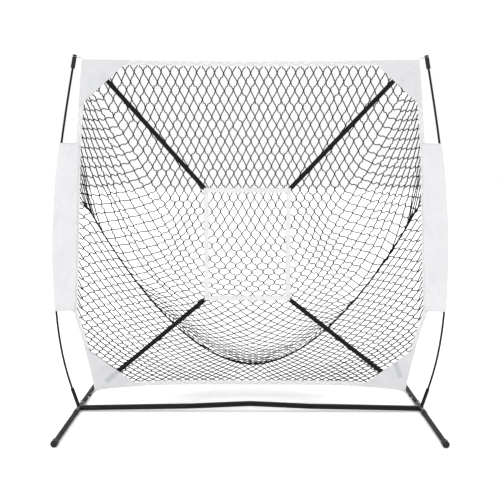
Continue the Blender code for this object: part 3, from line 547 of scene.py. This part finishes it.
def corner_patch(name, side, edge, corner, inward, strap, band):
    """A triangle of cloth over a corner, with soft folds that fan out from its tip."""
    tip = np.array([side * corner[1], PATCH_Y, corner[0]])
    spread = np.linspace(0, 1, PATCH_STEPS + 1)[None]
    out = np.linspace(0, 1, PATCH_STEPS + 1)[:, None]
    rows = []
    for r in range(PATCH_STEPS + 1):
        reach = PATCH_LEG * max(r / PATCH_STEPS, PATCH_TIP)
        down = corner[0] + inward * reach
        on_side = np.array([side * side_edge(down), PATCH_Y, down])
        on_cross = np.array([side * (corner[1] - reach), PATCH_Y, edge(corner[1] - reach)])
        rows.append(on_side * (1 - out) + on_cross * out)
    grid = np.array(rows)
    fan = np.sin(spread * 19 + 1.5 * np.sin(out * 5 + side)) * np.sin(np.pi * spread) * out
    grid[..., 1] -= PATCH_LIFT * (1 + fan) * np.sin(np.pi * spread) * out
    from_tip = np.linalg.norm(grid - tip, axis=-1)
    places = np.stack([from_tip, spread * PATCH_LEG + 0 * out], -1)
    shadow = band * strap_band(grid, strap[0], strap[1])
    hem_line = (spread < PATCH_HEM_SHARE) | (spread > 1 - PATCH_HEM_SHARE)
    # Tone: the strap band, and painted shade on the folds that fan out from the tip.
    tones = np.clip(shadow + 0.16 * np.clip(fan, 0, 1) - 0.05 * hem_line, 0, 1)
    facing = grid if side * inward < 0 else grid[:, ::-1]
    piece = cloth(name + "_cloth", facing, PATCH_THICKNESS, places, tones)
    placed(piece, PATCH_CLOTH, "white_fabric", name)


# ---- pole sleeves


SLEEVE_POINTS_UP = 121
SLEEVE_POINTS_ROUND = 17
SLEEVE_POINTS_FLAT = 22
SLEEVE_HELD = 8
SLEEVE_WRAP = slice(20, 39)
SLEEVE_WRAP_FREE = 0.15
SLEEVE_FOLD = 0.0011
SLEEVE_HEM_WIDTH = 0.012
SLEEVE_HEM_THICKNESS = 0.0016


def pole_sleeve(name, side):
    """The white wing: a sheet from the side hem round the pole and back, with hemmed ends."""
    lap_y = HEM_THICKNESS / 2 + CLEARANCE + FABRIC / 2
    rows, places = [], []
    heights = np.linspace(HEM_KNEE[0], HEM_SHOULDER[0], SLEEVE_POINTS_UP)
    for z in heights:
        start, centre = side_edge(z) - SLEEVE_LAP, pole_offset(z)
        reach = math.hypot(centre - start, lap_y)
        tangent = math.pi - math.atan2(lap_y, centre - start) - math.acos(WRAP_RADIUS / reach)
        angles = np.linspace(-tangent, tangent, SLEEVE_POINTS_ROUND)
        turn = np.stack([centre + WRAP_RADIUS * np.cos(angles), WRAP_RADIUS * np.sin(angles)], -1)
        share = np.linspace(0, 1, SLEEVE_POINTS_FLAT)[:, None]
        front = np.array([start, -lap_y]) * (1 - share) + turn[0] * share
        back = turn[-1] * (1 - share) + np.array([start, lap_y]) * share
        section = np.concatenate([front, turn[1:-1], back])
        level = np.full(len(section), z)
        rows.append(np.stack([side * section[:, 0], section[:, 1], level], -1))
        step = np.linalg.norm(np.diff(section, axis=0), axis=1)
        places.append(np.stack([level, np.concatenate([[0], np.cumsum(step)])], -1))
    grid, places = np.array(rows), np.array(places)
    free = np.ones(grid.shape[1])
    free[:SLEEVE_HELD] = np.linspace(0, 1, SLEEVE_HELD)
    free[-SLEEVE_HELD:] = np.linspace(1, 0, SLEEVE_HELD)
    free[SLEEVE_WRAP] = SLEEVE_WRAP_FREE
    fold = wave_noise(grid[..., 0] * 4, grid[..., 2] * 1.3, 1.0 + side)
    fold += 0.7 * np.sin(grid[..., 2] * 37 + side * grid[..., 0] * 61)
    grid[..., 1] += SLEEVE_FOLD * fold * free[None]
    hemmed = (np.minimum(heights - heights[0], heights[-1] - heights) < SLEEVE_HEM_WIDTH)[:, None]
    thick = np.where(hemmed, SLEEVE_HEM_THICKNESS, FABRIC)
    # Tone: painted shade on the deepest folds, and a darker band at the hemmed ends.
    tones = np.clip(0.10 * (fold > 0.9) + 0.10 * hemmed, 0, 1)
    piece = cloth(name + "_cloth", grid if side > 0 else grid[:, ::-1], thick, places, tones)
    placed(piece, SLEEVE_CLOTH, "white_fabric", name)


# ---- webbing


WEBBING_STEP = 0.006
WEBBING_LEAST_STEPS = 24
WEBBING_POINTS_ACROSS = 13
WEBBING_WAVE = 0.0002
SEWN_END = 0.018
SEWN_LINE = 0.12


def webbing(name, start, end, y, material, slot, node, seed):
    """A flat woven strap with soft edges, slight waves and crosses sewn at its ends."""
    start, end = np.array([start[0], y, start[1]]), np.array([end[0], y, end[1]])
    length = np.linalg.norm(end - start)
    across = np.cross((end - start) / length, [0, 1, 0])
    count = max(WEBBING_LEAST_STEPS, int(length / WEBBING_STEP))
    t = np.linspace(0, 1, count)
    share = np.linspace(-1, 1, WEBBING_POINTS_ACROSS)[None]
    middle = start + (end - start) * t[:, None]
    middle[:, 1] += WEBBING_WAVE * wave_noise(t * length * 3, 0 * t, seed) * np.sin(np.pi * t)
    grid = middle[:, None] + across * share[..., None] * WEBBING_WIDTH / 2
    thick = WEBBING_THICKNESS * (0.35 + 0.6 * np.sqrt(np.clip(1 - share**6, 0, 1)))
    along = t[:, None] * length + 0 * share
    places = np.stack([along, (share + 1) * WEBBING_WIDTH / 2 + 0 * along], -1)
    from_end = np.minimum(along, length - along)
    diagonal = np.abs(from_end - SEWN_END / 2) / (SEWN_END / 2)
    cross = np.abs(np.abs(share) - diagonal) < SEWN_LINE
    tones = np.clip(0.35 * ((from_end < SEWN_END) & cross), 0, 1)
    piece = cloth(name, grid, thick, places, tones)
    placed(piece, material, slot, node)


def build_webbing():
    """The strike zone's four strips, and at each corner a strap and the patch over its end."""
    left, right = ZONE_SHIFT - ZONE_WIDTH / 2, ZONE_SHIFT + ZONE_WIDTH / 2
    half = WEBBING_WIDTH / 2
    strips = (
        ("zone_top", (left, ZONE_TOP - half), (right, ZONE_TOP - half), ZONE_FRONT_Y),
        ("zone_bottom", (left, ZONE_BOTTOM + half), (right, ZONE_BOTTOM + half), ZONE_FRONT_Y),
        ("zone_left", (left + half, ZONE_BOTTOM), (left + half, ZONE_TOP), ZONE_BACK_Y),
        ("zone_right", (right - half, ZONE_BOTTOM), (right - half, ZONE_TOP), ZONE_BACK_Y),
    )
    for i, (name, start, end, y) in enumerate(strips):
        node = name + "_webbing"
        webbing(name + "_strip", start, end, y, WHITE_WEBBING, "white_webbing", node, float(i))
    for side_name, side in SIDES:
        for place, corner, edge, zone, inward in (
            ("top", HEM_TOP, top_edge, ZONE_TOP, -1),
            ("bottom", HEM_BOTTOM, bottom_edge, ZONE_BOTTOM, 1),
        ):
            inset = STRAP_INSETS[place]
            start = (ZONE_SHIFT + side * (ZONE_WIDTH / 2 - half), zone + inward * half)
            reach = corner[1] - HEM_WIDTH - inset[0]
            end = (side * reach, edge(reach) + inward * (HEM_WIDTH + inset[1]))
            node = f"{place}_{side_name}_strap"
            webbing(node + "_web", start, end, STRAP_Y, BLACK_WEBBING, "black_webbing", node, 5.0 + side)
            patch = f"{place}_{side_name}_patch"
            corner_patch(patch, side, edge, corner, inward, (start, end), STRAP_BAND_TONE[place])


# ---- pocket net

# Strands: metres, and slack as a share of the straight distance between two knots
STRAND_REACH = 0.0427
STRAND_LENGTH = 0.0450
STRAND_MOST_SLACK = 1.32
STRAND_BESIDE_SLACK = 1.05
STRAND_SET_SLACK = 1.22
STRAND_SET_TAUT = 1.02
STRAND_FLOOR_SLACK = 1.03
STRAND_LEAST_SLACK = 1.004
STRAND_SWING = 0.16
STRAND_RADIUS = 0.0025
STRAND_SIDES = 5
STRAND_POINTS = 13
STRAND_KEPT_EVERY = 3
STRAND_THIN = 0.13
STRAND_SPREAD = (1.004, 0.008)
STRAND_SLACK_EASE = 5.5
RISE_SPREAD = 0.16
KNOT_SIZE = (0.0027, 0.0022, 0.0030)
KNOT_SPREAD = 0.12
KNOT_JITTER = 0.0011
KNOT_THIN = 0.4
KNOT_RINGS = 4
KNOT_SIDES = 6

# Hanging: the start, the steps and the pull back and down in metres per step squared
NET_INSET = 0.010
NET_START_Y = 0.004
NET_START_DEPTH = 0.3
NET_START_POWER = 2.5
NET_START_JITTER = 0.001
HANG_STEPS = 420
HANG_PASSES = 12
HANG_KEPT_SPEED = 0.98
HANG_PULL = np.array([0, 0.3, -1.0]) * 9.8 / 120**2

# The fold, in columns and rows of the picture, and in knots up and across
FOLD_COLUMN = 253.0
FOLD_BOTTOM_ROW = 364.5
FOLD_REACH = 166.0
FOLD_SPREAD = 0.0124
FOLD_POWER = 1.85
FOLD_KNOTS_UP = 8
FOLD_KNOT_AT_SIDE = 42
FOLD_CROWDING = 0.36
FOLD_UNDER = 0.177
FOLD_HIDDEN = 4.0
HEM_CROWDING = 0.2

# The net's floor above the fold. Pairs are a start and a width, in rows or columns of the picture
FLOOR_ROW = 190.0
FLOOR_LOWEST = 0.80
FLOOR_POWER = 2.35
FLOOR_STEP = 1.7
FLOOR_STEP_FADE = 7
FLOOR_LEAST_COUNT = 4
FLOOR_LEAST_ABOVE = 40
FLOOR_WHOLE = 12
FLOOR_REACH = 21
FLOOR_TAUT_ROWS = (240, 75)
FLOOR_TAUT_COLUMNS = (1.7, 75)
HEAP_ROWS = (34, 22)
HEAP_LINE = (0.4, 1.6)
HEAP_COLUMNS = (1.8, 55)
BESIDE_COLUMNS = (25, 25)
BESIDE_ROWS = (170, 50)

# Where knots are drawn together in the picture: the left crease, the right band and the fold's line
CREASE_COLUMNS = (103.0, 113.0, 124.3, 137.9, 160.0, 180.0)
CREASE_ROWS = (180.0, 198.6, 221.4, 247.9, 282.9, 302.6)
CREASE_PULL = 0.85
CREASE_WIDTH = 8.0
CREASE_END = 12
BAND_COLUMNS = (315, 30)
BAND_WIDTH = 12.0
LINE_PULL = 0.9
LINE_WIDTH = 4.2

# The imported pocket's surface: (depth, height) of its curves in the middle
POCKET_INSET = 0.016
POCKET_FLOOR_BEND = ((0.147, 0.065), (0.42, 0.055))
POCKET_HEEL = (0.42, 0.22)
POCKET_WALL_BEND = ((0.42, 0.606), (0.16, 1.137))
POCKET_FOLD = 0.24
POCKET_FOLD_AT_SIDE = 0.60
POCKET_WALL_POWER = 2.6
POCKET_NARROWING = 0.06
POCKET_STEPS = (65, 81)
SEEN_COLUMNS = (50, 450, 134)
SEEN_ROWS = (40, 412, 125)


def smooth(share):
    """0 to 1 with no corner at either end."""
    return share * share * (3 - 2 * share)


def rising(value, start, width):
    """0 up to the start, and evenly up to 1 over the width."""
    return np.clip((value - start) / width, 0, 1)


def bezier(points, t):
    """A point of the cubic curve with four given points."""
    a, b, c, d = (np.array(point) for point in points)
    r = 1 - t
    return a * r**3 + b * (3 * r * r * t) + c * (3 * r * t * t) + d * t**3


def pocket_point(u, v):
    """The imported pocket's surface, from u, -1 to 1 across, and v, 0 to 1 from the bottom hem up."""
    fold = POCKET_FOLD + (POCKET_FOLD_AT_SIDE - POCKET_FOLD) * abs(u) ** 2
    low = (0, bottom_edge(0) + POCKET_INSET)
    high = (0, top_edge(0) - POCKET_INSET)
    if v < fold:
        depth, height = bezier((low, *POCKET_FLOOR_BEND, POCKET_HEEL), v / fold)
    else:
        depth, height = bezier((POCKET_HEEL, *POCKET_WALL_BEND, high), (v - fold) / (1 - fold))
    swell = 1 - abs(u) ** POCKET_WALL_POWER
    level = HEM_BOTTOM[0] + (HEM_TOP[0] - HEM_BOTTOM[0]) * v
    x = u * (side_edge(level) - POCKET_INSET)
    plain = bottom_edge(x) + POCKET_INSET + (top_edge(x) - bottom_edge(x) - 2 * POCKET_INSET) * v
    narrowing = 1 - POCKET_NARROWING * swell * depth / POCKET_HEEL[0]
    across = u * (side_edge(plain) - POCKET_INSET) * narrowing
    return (across, NET_START_Y + depth * swell, plain + (height - plain) * swell)


class Pocket:
    """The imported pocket's surface, asked for its depth along sight lines and straight back."""

    def __init__(self):
        us, vs = np.linspace(-1, 1, POCKET_STEPS[0]), np.linspace(0, 1, POCKET_STEPS[1])
        corners = [pocket_point(u, v) for u in us for v in vs]
        rows = len(vs)
        faces = [
            (a * rows + b, a * rows + b + 1, (a + 1) * rows + b + 1, (a + 1) * rows + b)
            for a in range(len(us) - 1)
            for b in range(rows - 1)
        ]
        tree = BVHTree.FromPolygons(corners, faces)
        self.columns, self.rows = np.linspace(*SEEN_COLUMNS), np.linspace(*SEEN_ROWS)
        depth = np.full((len(self.columns), len(self.rows)), NET_START_Y)
        for a, column in enumerate(self.columns):
            for b, row in enumerate(self.rows):
                toward = Vector(on_ray(column, row, 0.0)) - CAMERA_PLACE
                hit = tree.ray_cast(CAMERA_PLACE, toward.normalized())[0]
                if hit:
                    depth[a, b] = max(NET_START_Y, hit.y)
        for _ in range(2):
            beside = depth[1:-1, 1:-1] * 4 + depth[:-2, 1:-1] + depth[2:, 1:-1]
            depth[1:-1, 1:-1] = (beside + depth[1:-1, :-2] + depth[1:-1, 2:]) / 8
        self.depth = depth

    def at(self, column, row):
        """Depth Y of the surface at places of the picture, smoothly between samples."""
        a = (column - self.columns[0]) / (self.columns[1] - self.columns[0])
        b = (row - self.rows[0]) / (self.rows[1] - self.rows[0])
        a = np.clip(a, 0, len(self.columns) - 1.001)
        b = np.clip(b, 0, len(self.rows) - 1.001)
        i, j = a.astype(int), b.astype(int)
        p, q = a - i, b - j
        d = self.depth
        low = d[i, j] * (1 - p) + d[i + 1, j] * p
        high = d[i, j + 1] * (1 - p) + d[i + 1, j + 1] * p
        return low * (1 - q) + high * q

    def on_it(self, column, row):
        """World points of the surface at places of the picture."""
        return on_ray(column, row, self.at(column, row))


def fold_row(column):
    """Picture row of the fold at a column."""
    away = np.minimum(np.abs(column - FOLD_COLUMN), FOLD_REACH)
    return FOLD_BOTTOM_ROW - FOLD_SPREAD * away**FOLD_POWER


def border_place(i, j):
    """Where knot (i, j) would be on the flat opening."""
    u, v = i / NET_ACROSS - 1, j / (2 * NET_UP)
    level = HEM_BOTTOM[0] + NET_INSET + (HEM_TOP[0] - HEM_BOTTOM[0] - 2 * NET_INSET) * v
    x = u * (side_edge(level) - NET_INSET)
    z = bottom_edge(x) + NET_INSET + (top_edge(x) - bottom_edge(x) - 2 * NET_INSET) * v
    return np.array([u * (side_edge(z) - NET_INSET), NET_START_Y, z])


def lattice():
    """Knots (i, j) with i + j even, and four groups of strands that share no knot."""
    span, tall = 2 * NET_ACROSS, 2 * NET_UP
    knots = [(i, j) for i in range(span + 1) for j in range(tall + 1) if (i + j) % 2 == 0]
    index = {knot: k for k, knot in enumerate(knots)}
    groups = []
    for step in (1, -1):
        for parity in (0, 1):
            pairs = [
                (index[i, j], index[i + step, j + 1])
                for i, j in knots
                if j % 2 == parity and (i + step, j + 1) in index
            ]
            groups.append(np.array(pairs).T)
    return knots, index, groups


def fold_height(i):
    """How many knots up from the bottom hem the fold runs, for knot column i."""
    side = min(i, 2 * NET_ACROSS - i)
    return max(FOLD_KNOTS_UP, FOLD_KNOT_AT_SIDE - side)


def fold_column(i, over):
    """Picture column of knot column i at the fold, for the net that lies over it or under it."""
    side = 0 if i < NET_ACROSS else 2 * NET_ACROSS
    reach = in_picture(border_place(side, FOLD_KNOT_AT_SIDE))[0][0] - FOLD_COLUMN
    share = abs(i - NET_ACROSS) / NET_ACROSS
    if over:
        return FOLD_COLUMN + reach * share * (1 + FOLD_CROWDING * (1 - share))
    return FOLD_COLUMN + reach * share * (1 - FOLD_UNDER * (1 - share**2))


def lower_knots(pocket):
    """Knots on and below the fold, spread between the hem, the two sides and the fold."""
    made = {}
    span = 2 * NET_ACROSS

    def border(i, j):
        column, row = in_picture(border_place(i, j))
        return np.array([column[0], row[0]])

    def on_fold(i):
        column = fold_column(i, False)
        return np.array([column, fold_row(column)])

    for i in range(1, span):
        side = 0 if i <= NET_ACROSS else span
        inward = 1 - abs(i - NET_ACROSS) / NET_ACROSS
        low, high = border(i, 0), on_fold(i)
        corner, shoulder = border(side, 0), border(side, FOLD_KNOT_AT_SIDE)
        for j in range(1, fold_height(i) + 1):
            if (i + j) % 2:
                continue
            level = j / fold_height(i)
            w = level ** (1 + HEM_CROWDING * (1 - inward))
            edge = border(side, FOLD_KNOT_AT_SIDE * j / fold_height(i))
            bulge = edge - corner * (1 - level) - shoulder * level
            place = low * (1 - w) + high * w + bulge * (1 - inward)
            made[i, j] = pocket.on_it(place[0], place[1])
    return made


def rest_on_fold(index, column, row):
    """Rows of knots that lie ever closer together down to the fold, on the net's floor."""
    new_column, new_row = column.copy(), row.copy()
    for i in range(NET_ACROSS - FLOOR_REACH, NET_ACROSS + FLOOR_REACH + 1):
        away = abs(i - NET_ACROSS)
        weight = 1 - smooth(min(max((away - FLOOR_WHOLE) / (FLOOR_REACH - FLOOR_WHOLE), 0), 1))
        levels = [j for j in range(fold_height(i) + 1, 2 * NET_UP) if (i + j) % 2 == 0]
        picked = np.array([index[i, j] for j in levels])
        count = (np.array(levels) - fold_height(i)) / 2
        above = np.maximum.accumulate(np.maximum(fold_row(column[picked]) - row[picked], 0))
        growth = count * np.gradient(above, count) / np.maximum(above, 1)
        joint = next(
            k
            for k in range(FLOOR_LEAST_COUNT, len(levels) - 2)
            if above[k] > FLOOR_LEAST_ABOVE and growth[k] <= FLOOR_POWER
        )
        share = count / count[joint]
        settled = np.where(share < 1, above[joint] * share**FLOOR_POWER, above)
        settled += FLOOR_STEP * count * np.exp(-count / FLOOR_STEP_FADE) * np.clip(1 - share, 0, 1)
        foot, hidden = fold_column(i, True), fold_column(i, False)
        top = np.interp(FLOOR_ROW, row[picked][::-1], column[picked][::-1])
        down = row[picked]
        for _ in range(3):
            lowest = FLOOR_LOWEST * (fold_row(foot) - FLOOR_ROW)
            low = smooth(np.clip((down - FLOOR_ROW) / lowest, 0, 1))
            moved = top * (1 - low) + foot * low
            moved += (hidden - foot) * np.clip(1 - count / FOLD_HIDDEN, 0, 1)
            moved = np.where(row[picked] < FLOOR_ROW, column[picked], moved)
            down = fold_row(moved) - settled
        new_column[picked] = column[picked] * (1 - weight) + moved * weight
        new_row[picked] = row[picked] * (1 - weight) + down * weight
    return new_column, new_row


def bunch(column, row):
    """Knots drawn together along the left crease, the fold's steep part at the right and its line."""
    off = column - np.interp(row, CREASE_ROWS, CREASE_COLUMNS)
    from_end = np.minimum(row - CREASE_ROWS[0], CREASE_ROWS[-1] - row)
    ends = np.clip(from_end / CREASE_END, 0, 1)
    column = column - CREASE_PULL * off * np.exp(-((off / CREASE_WIDTH) ** 2)) * ends
    above = fold_row(column) - row
    steep = rising(column, *BAND_COLUMNS) * (above > 0)
    row = row + CREASE_PULL * above * np.exp(-((above / BAND_WIDTH) ** 2)) * steep
    above = fold_row(column) - row
    row = row + LINE_PULL * above * np.exp(-((above / LINE_WIDTH) ** 2)) * (above > 0)
    return column, row


def hang_net(pocket):
    """Knots of the hanging net: set at the border and under the fold, and hung on its strands above."""
    knots, index, groups = lattice()
    place = np.array([border_place(i, j) for i, j in knots])
    i, j = np.array(knots).T
    u, v = i / NET_ACROSS - 1, j / (2 * NET_UP)
    held = (np.abs(u) > 0.999) | (v < 0.001) | (v > 0.999)
    swell = (1 - np.abs(u) ** NET_START_POWER) * (1 - np.abs(2 * v - 1) ** NET_START_POWER)
    place[:, 1] += NET_START_DEPTH * swell
    for knot, point in lower_knots(pocket).items():
        place[index[knot]] = point
        held[index[knot]] = True
    free = ~held
    place[free] += np.random.default_rng(3).normal(0, NET_START_JITTER, (free.sum(), 3))
    before = place.copy()
    weights = [(free[a].astype(float), free[b].astype(float)) for a, b in groups]
    for _ in range(HANG_STEPS):
        speed = (place - before) * HANG_KEPT_SPEED
        before = place.copy()
        place[free] += speed[free] + HANG_PULL
        for _ in range(HANG_PASSES):
            for (a, b), (wa, wb) in zip(groups, weights):
                gap = place[b] - place[a]
                size = np.sqrt((gap * gap).sum(1))
                excess = np.maximum(size - STRAND_REACH, 0)
                give = excess / np.maximum(size, 1e-9) / np.maximum(wa + wb, 1)
                place[a] += gap * (give * wa)[:, None]
                place[b] -= gap * (give * wb)[:, None]
        column, row = in_picture(place)
        row = np.minimum(row, fold_row(column) - 0.4)
        place[free] = pocket.on_it(column[free], row[free])
    column, row = bunch(*rest_on_fold(index, *in_picture(place)))
    row = np.minimum(row, fold_row(column) - 0.2)
    place[free] = pocket.on_it(column[free], row[free])
    return knots, groups, place, held


def near_middle(column, columns):
    """1 near the fold's middle column, easing to 0 further out."""
    return np.clip(columns[0] - np.abs(column - FOLD_COLUMN) / columns[1], 0, 1)


def on_floor(column, row):
    """How much a place of the picture lies on the net's flat floor, 0 to 1."""
    return rising(row, *FLOOR_TAUT_ROWS) * near_middle(column, FLOOR_TAUT_COLUMNS)


def in_heap(column, row):
    """How close to the fold's lowest part, where many rows lie on each other, 0 to 1."""
    above = fold_row(column) - row
    close = np.clip((HEAP_ROWS[0] - above) / HEAP_ROWS[1], 0, 1)
    return close * rising(above, *HEAP_LINE) * near_middle(column, HEAP_COLUMNS)


def strand_slack(knots, held, a, b, column, row):
    """The most that each strand from knot a to knot b may be longer than the distance between them."""
    columns = np.array(knots)[:, 0]
    outward = (columns[b] - columns[a]) * np.sign(NET_ACROSS - columns[a] + 0.5) < 0
    low = on_floor(column, row)
    set_slack = np.where(outward, STRAND_SET_TAUT, STRAND_SET_SLACK)
    set_slack += (STRAND_FLOOR_SLACK - set_slack) * low
    beside = rising(np.abs(column - FOLD_COLUMN), *BESIDE_COLUMNS)
    beside = beside * rising(row, *BESIDE_ROWS) * outward
    loose = STRAND_MOST_SLACK * (1 - beside) + STRAND_BESIDE_SLACK * beside
    return np.where(held[a] & held[b], set_slack, loose * (1 - low) + STRAND_FLOOR_SLACK * low)


def strand_paths(knots, place, held, groups):
    """Each strand as a curve of its real length: straight where it is taut, an S where it is slack."""
    a, b = np.concatenate(groups, axis=1)
    rise = np.zeros_like(place)
    for p, q, sign in ((a, b, 1), (b, a, -1)):
        np.add.at(rise, p, sign * (place[q] - place[p]))
    random = np.random.default_rng(11)
    rise = unit(unit(rise) + random.normal(0, RISE_SPREAD, rise.shape))
    start, end = place[a], place[b]
    gap = end - start
    size = np.linalg.norm(gap, axis=1)
    column, row = in_picture((start + end) / 2)
    most = strand_slack(knots, held, a, b, column, row)
    length = np.clip(STRAND_LENGTH, size * STRAND_LEAST_SLACK, size * most)
    length = length * random.normal(*STRAND_SPREAD, len(a))
    slack = np.clip((length / np.maximum(size, 1e-6) - 1) * STRAND_SLACK_EASE, 0, 1)[:, None]
    leave = unit(gap) * (1 - slack) + rise[a] * slack
    arrive = unit(gap) * (1 - slack) + rise[b] * slack
    t = np.linspace(0, 1, STRAND_POINTS)[None, :, None]
    h00, h10 = 2 * t**3 - 3 * t**2 + 1, t**3 - 2 * t**2 + t
    h01, h11 = 3 * t**2 - 2 * t**3, t**3 - t**2

    def curve(swing):
        pull = swing[:, None, None]
        first = h00 * start[:, None] + h10 * leave[:, None] * pull
        return first + h01 * end[:, None] + h11 * arrive[:, None] * pull

    # The swing that gives each strand its length, by halving
    low, high = np.zeros(len(a)), np.full(len(a), STRAND_SWING)
    for _ in range(16):
        mid = (low + high) / 2
        short = np.linalg.norm(np.diff(curve(mid), axis=1), axis=2).sum(1) < length
        low, high = np.where(short, mid, low), np.where(short, high, mid)
    path = curve((low + high) / 2)[:, ::STRAND_KEPT_EVERY]
    # A strand that swings far or lies in the heap is a little thinner
    return path, STRAND_RADIUS * (1 - STRAND_THIN * (low + in_heap(column, row)))


def build_net():
    """The twine as five-sided tubes from knot to knot, all in one mesh."""
    knots, groups, place, held = hang_net(Pocket())
    random = np.random.default_rng(5)
    place[~held] += random.normal(0, KNOT_JITTER, (int((~held).sum()), 3))
    place[:, 1] = np.maximum(place[:, 1], NET_START_Y)
    paths, radii = strand_paths(knots, place, held, groups)
    count, steps = paths.shape[:2]
    sides = STRAND_SIDES
    tangent = unit(np.gradient(paths, axis=1))
    helper = np.where(np.abs(tangent[..., 1:2]) > 0.8, [1.0, 0, 0], [0, 1.0, 0])
    first = unit(np.cross(tangent, helper))
    second = np.cross(tangent, first)
    angle = np.linspace(0, 2 * math.pi, sides, endpoint=False)
    ring = first[:, :, None] * np.cos(angle)[:, None] + second[:, :, None] * np.sin(angle)[:, None]
    points = (paths[:, :, None] + ring * radii[:, None, None, None]).reshape(-1, 3)
    base = (np.arange(count) * steps * sides)[:, None, None]
    base = base + np.arange(steps - 1)[None, :, None] * sides
    a = np.arange(sides)[None, None]
    b = (a + 1) % sides
    quads = np.stack([base + a, base + b, base + sides + b, base + sides + a], -1).reshape(-1, 4)
    along = np.repeat(np.linspace(0, STRAND_LENGTH, steps), sides)
    places = np.stack([np.tile(along, count), np.tile(angle / (2 * math.pi), count * steps)], -1)
    net = mesh_object("pocket_net_twine", points, quads, places)
    placed(net, NET_TWINE, "net_cord", "pocket_net")
    build_knots(place)


def build_knots(place):
    """A small tight lump at each crossing: two turns of the twine."""
    random = np.random.default_rng(9)
    sides = KNOT_SIDES
    phi = np.linspace(0, math.pi, KNOT_RINGS + 1)[1:-1]
    theta = np.linspace(0, 2 * math.pi, sides, endpoint=False)
    rings = [
        (math.sin(p) * math.cos(t), math.sin(p) * math.sin(t), math.cos(p)) for p in phi for t in theta
    ]
    ball = np.array([(0, 0, 1.0), *rings, (0, 0, -1.0)])
    turns = [(k, (k + 1) % sides) for k in range(sides)]
    faces = [(0, 1 + k, 1 + after) for k, after in turns]
    for ring in range(KNOT_RINGS - 2):
        upper, lower = 1 + ring * sides, 1 + (ring + 1) * sides
        faces += [(upper + k, lower + k, lower + after, upper + after) for k, after in turns]
    faces += [(lower + k, len(ball) - 1, lower + after) for k, after in turns]
    column, row = in_picture(place)
    low = (on_floor(column, row) + in_heap(column, row))[:, None, None]
    sizes = random.normal(1, KNOT_SPREAD, (len(place), 1, 1)) * (1 - KNOT_THIN * low) * KNOT_SIZE
    points = (place[:, None] + ball[None] * sizes).reshape(-1, 3)
    all_faces = [tuple(v + k * len(ball) for v in face) for k in range(len(place)) for face in faces]
    places = np.tile(ball[:, (0, 2)] * 0.004, (len(place), 1))
    knots = mesh_object("pocket_net_knots", points, all_faces, places)
    placed(knots, NET_TWINE, "net_cord")


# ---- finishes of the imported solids


FINISHES = (
    (COAT, "crossbar", "base_weldment"),
    (LEG_COAT_PAINTED_SHEEN, "_leg"),
    (CAP_PLASTIC, "foot_cap", "top_cap", "corner_hook"),
    (NICKEL, "snap_button", "crimp"),
    (SPRING, "button_spring"),
    (POLE_RESIN, "_pole"),
    (ALUMINIUM, "ferrule"),
    (ELASTIC, "corner_elastic"),
    (WHITE_CORD, "_loop"),
)


def finish_nodes():
    """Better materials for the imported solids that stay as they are."""
    for name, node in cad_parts.items():
        for material, *endings in FINISHES:
            if name.endswith(tuple(endings)):
                for slot in node.material_slots:
                    slot.material = material


# ---- floor and light


STAGE_REACH = 30.0
FLOOR_GLOW = 0.24
WORLD_LIGHT = 0.42
WHITE = (1, 1, 1, 1)


def seen_directly(tree):
    """1 for what the camera sees, straight or in gloss or glass, and 0 for what lights the object."""
    path = tree.nodes.new("ShaderNodeLightPath")
    total = path.outputs["Is Camera Ray"]
    for ray in ("Is Glossy Ray", "Is Transmission Ray"):
        added = tree.nodes.new("ShaderNodeMath")
        added.operation = "MAXIMUM"
        tree.links.new(total, added.inputs[0])
        tree.links.new(path.outputs[ray], added.inputs[1])
        total = added.outputs[0]
    return total


def build_floor():
    mesh = bpy.data.meshes.new("floor")
    turns = ((-1, -1), (1, -1), (1, 1), (-1, 1))
    mesh.from_pydata([(x * STAGE_REACH, y * STAGE_REACH, 0) for x, y in turns], [], [(0, 1, 2, 3)])
    n = Nodes("floor_paint")
    base = n.mix(n.noise(1.5, 3.0), (0.945, 0.945, 0.94, 1), (0.96, 0.96, 0.955, 1))
    n.shader.inputs["Emission Color"].default_value = WHITE
    glow = n.math("MULTIPLY", seen_directly(n.tree), FLOOR_GLOW)
    n.join(n.shader.inputs["Emission Strength"], glow)
    mesh.materials.append(n.finish(base, 0.9, 0.1))
    in_scene("floor", mesh)


def build_world():
    """A dim white world for light, and a plain white one where it is seen."""
    world = bpy.data.worlds.new("studio")
    bpy.context.scene.world = world
    world.use_nodes = True
    tree = world.node_tree
    back = tree.nodes["Background"]
    seen = tree.nodes.new("ShaderNodeBackground")
    for node, strength in ((back, WORLD_LIGHT), (seen, 1.0)):
        node.inputs["Color"].default_value = WHITE
        node.inputs["Strength"].default_value = strength
    mix = tree.nodes.new("ShaderNodeMixShader")
    tree.links.new(seen_directly(tree), mix.inputs["Fac"])
    tree.links.new(back.outputs["Background"], mix.inputs[1])
    tree.links.new(seen.outputs["Background"], mix.inputs[2])
    tree.links.new(mix.outputs["Shader"], tree.nodes["World Output"].inputs["Surface"])


def sun(name, bearing, elevation, spread, strength):
    """A lamp far away: bearing from +Y, elevation and spread in degrees."""
    data = bpy.data.lights.new(name, "SUN")
    data.angle = math.radians(spread)
    data.energy = strength
    light = in_scene(name, data)
    turn, tilt = math.radians(bearing), math.radians(elevation)
    level = math.cos(tilt)
    source = Vector((math.sin(turn) * level, math.cos(turn) * level, math.sin(tilt)))
    light.rotation_euler = source.to_track_quat("Z", "Y").to_euler()


# ---- assembly

build_hems()
build_webbing()
for side_name, side_sign in SIDES:
    pole_sleeve(f"{side_name}_pole_sleeve", side_sign)
build_net()
finish_nodes()
build_floor()
build_world()
sun("top_light", bearing=3.0, elevation=74.0, spread=75.0, strength=2.6)
sun("front_light", bearing=192.0, elevation=28.0, spread=8.0, strength=0.85)
bpy.context.scene.view_settings.view_transform = "Standard"
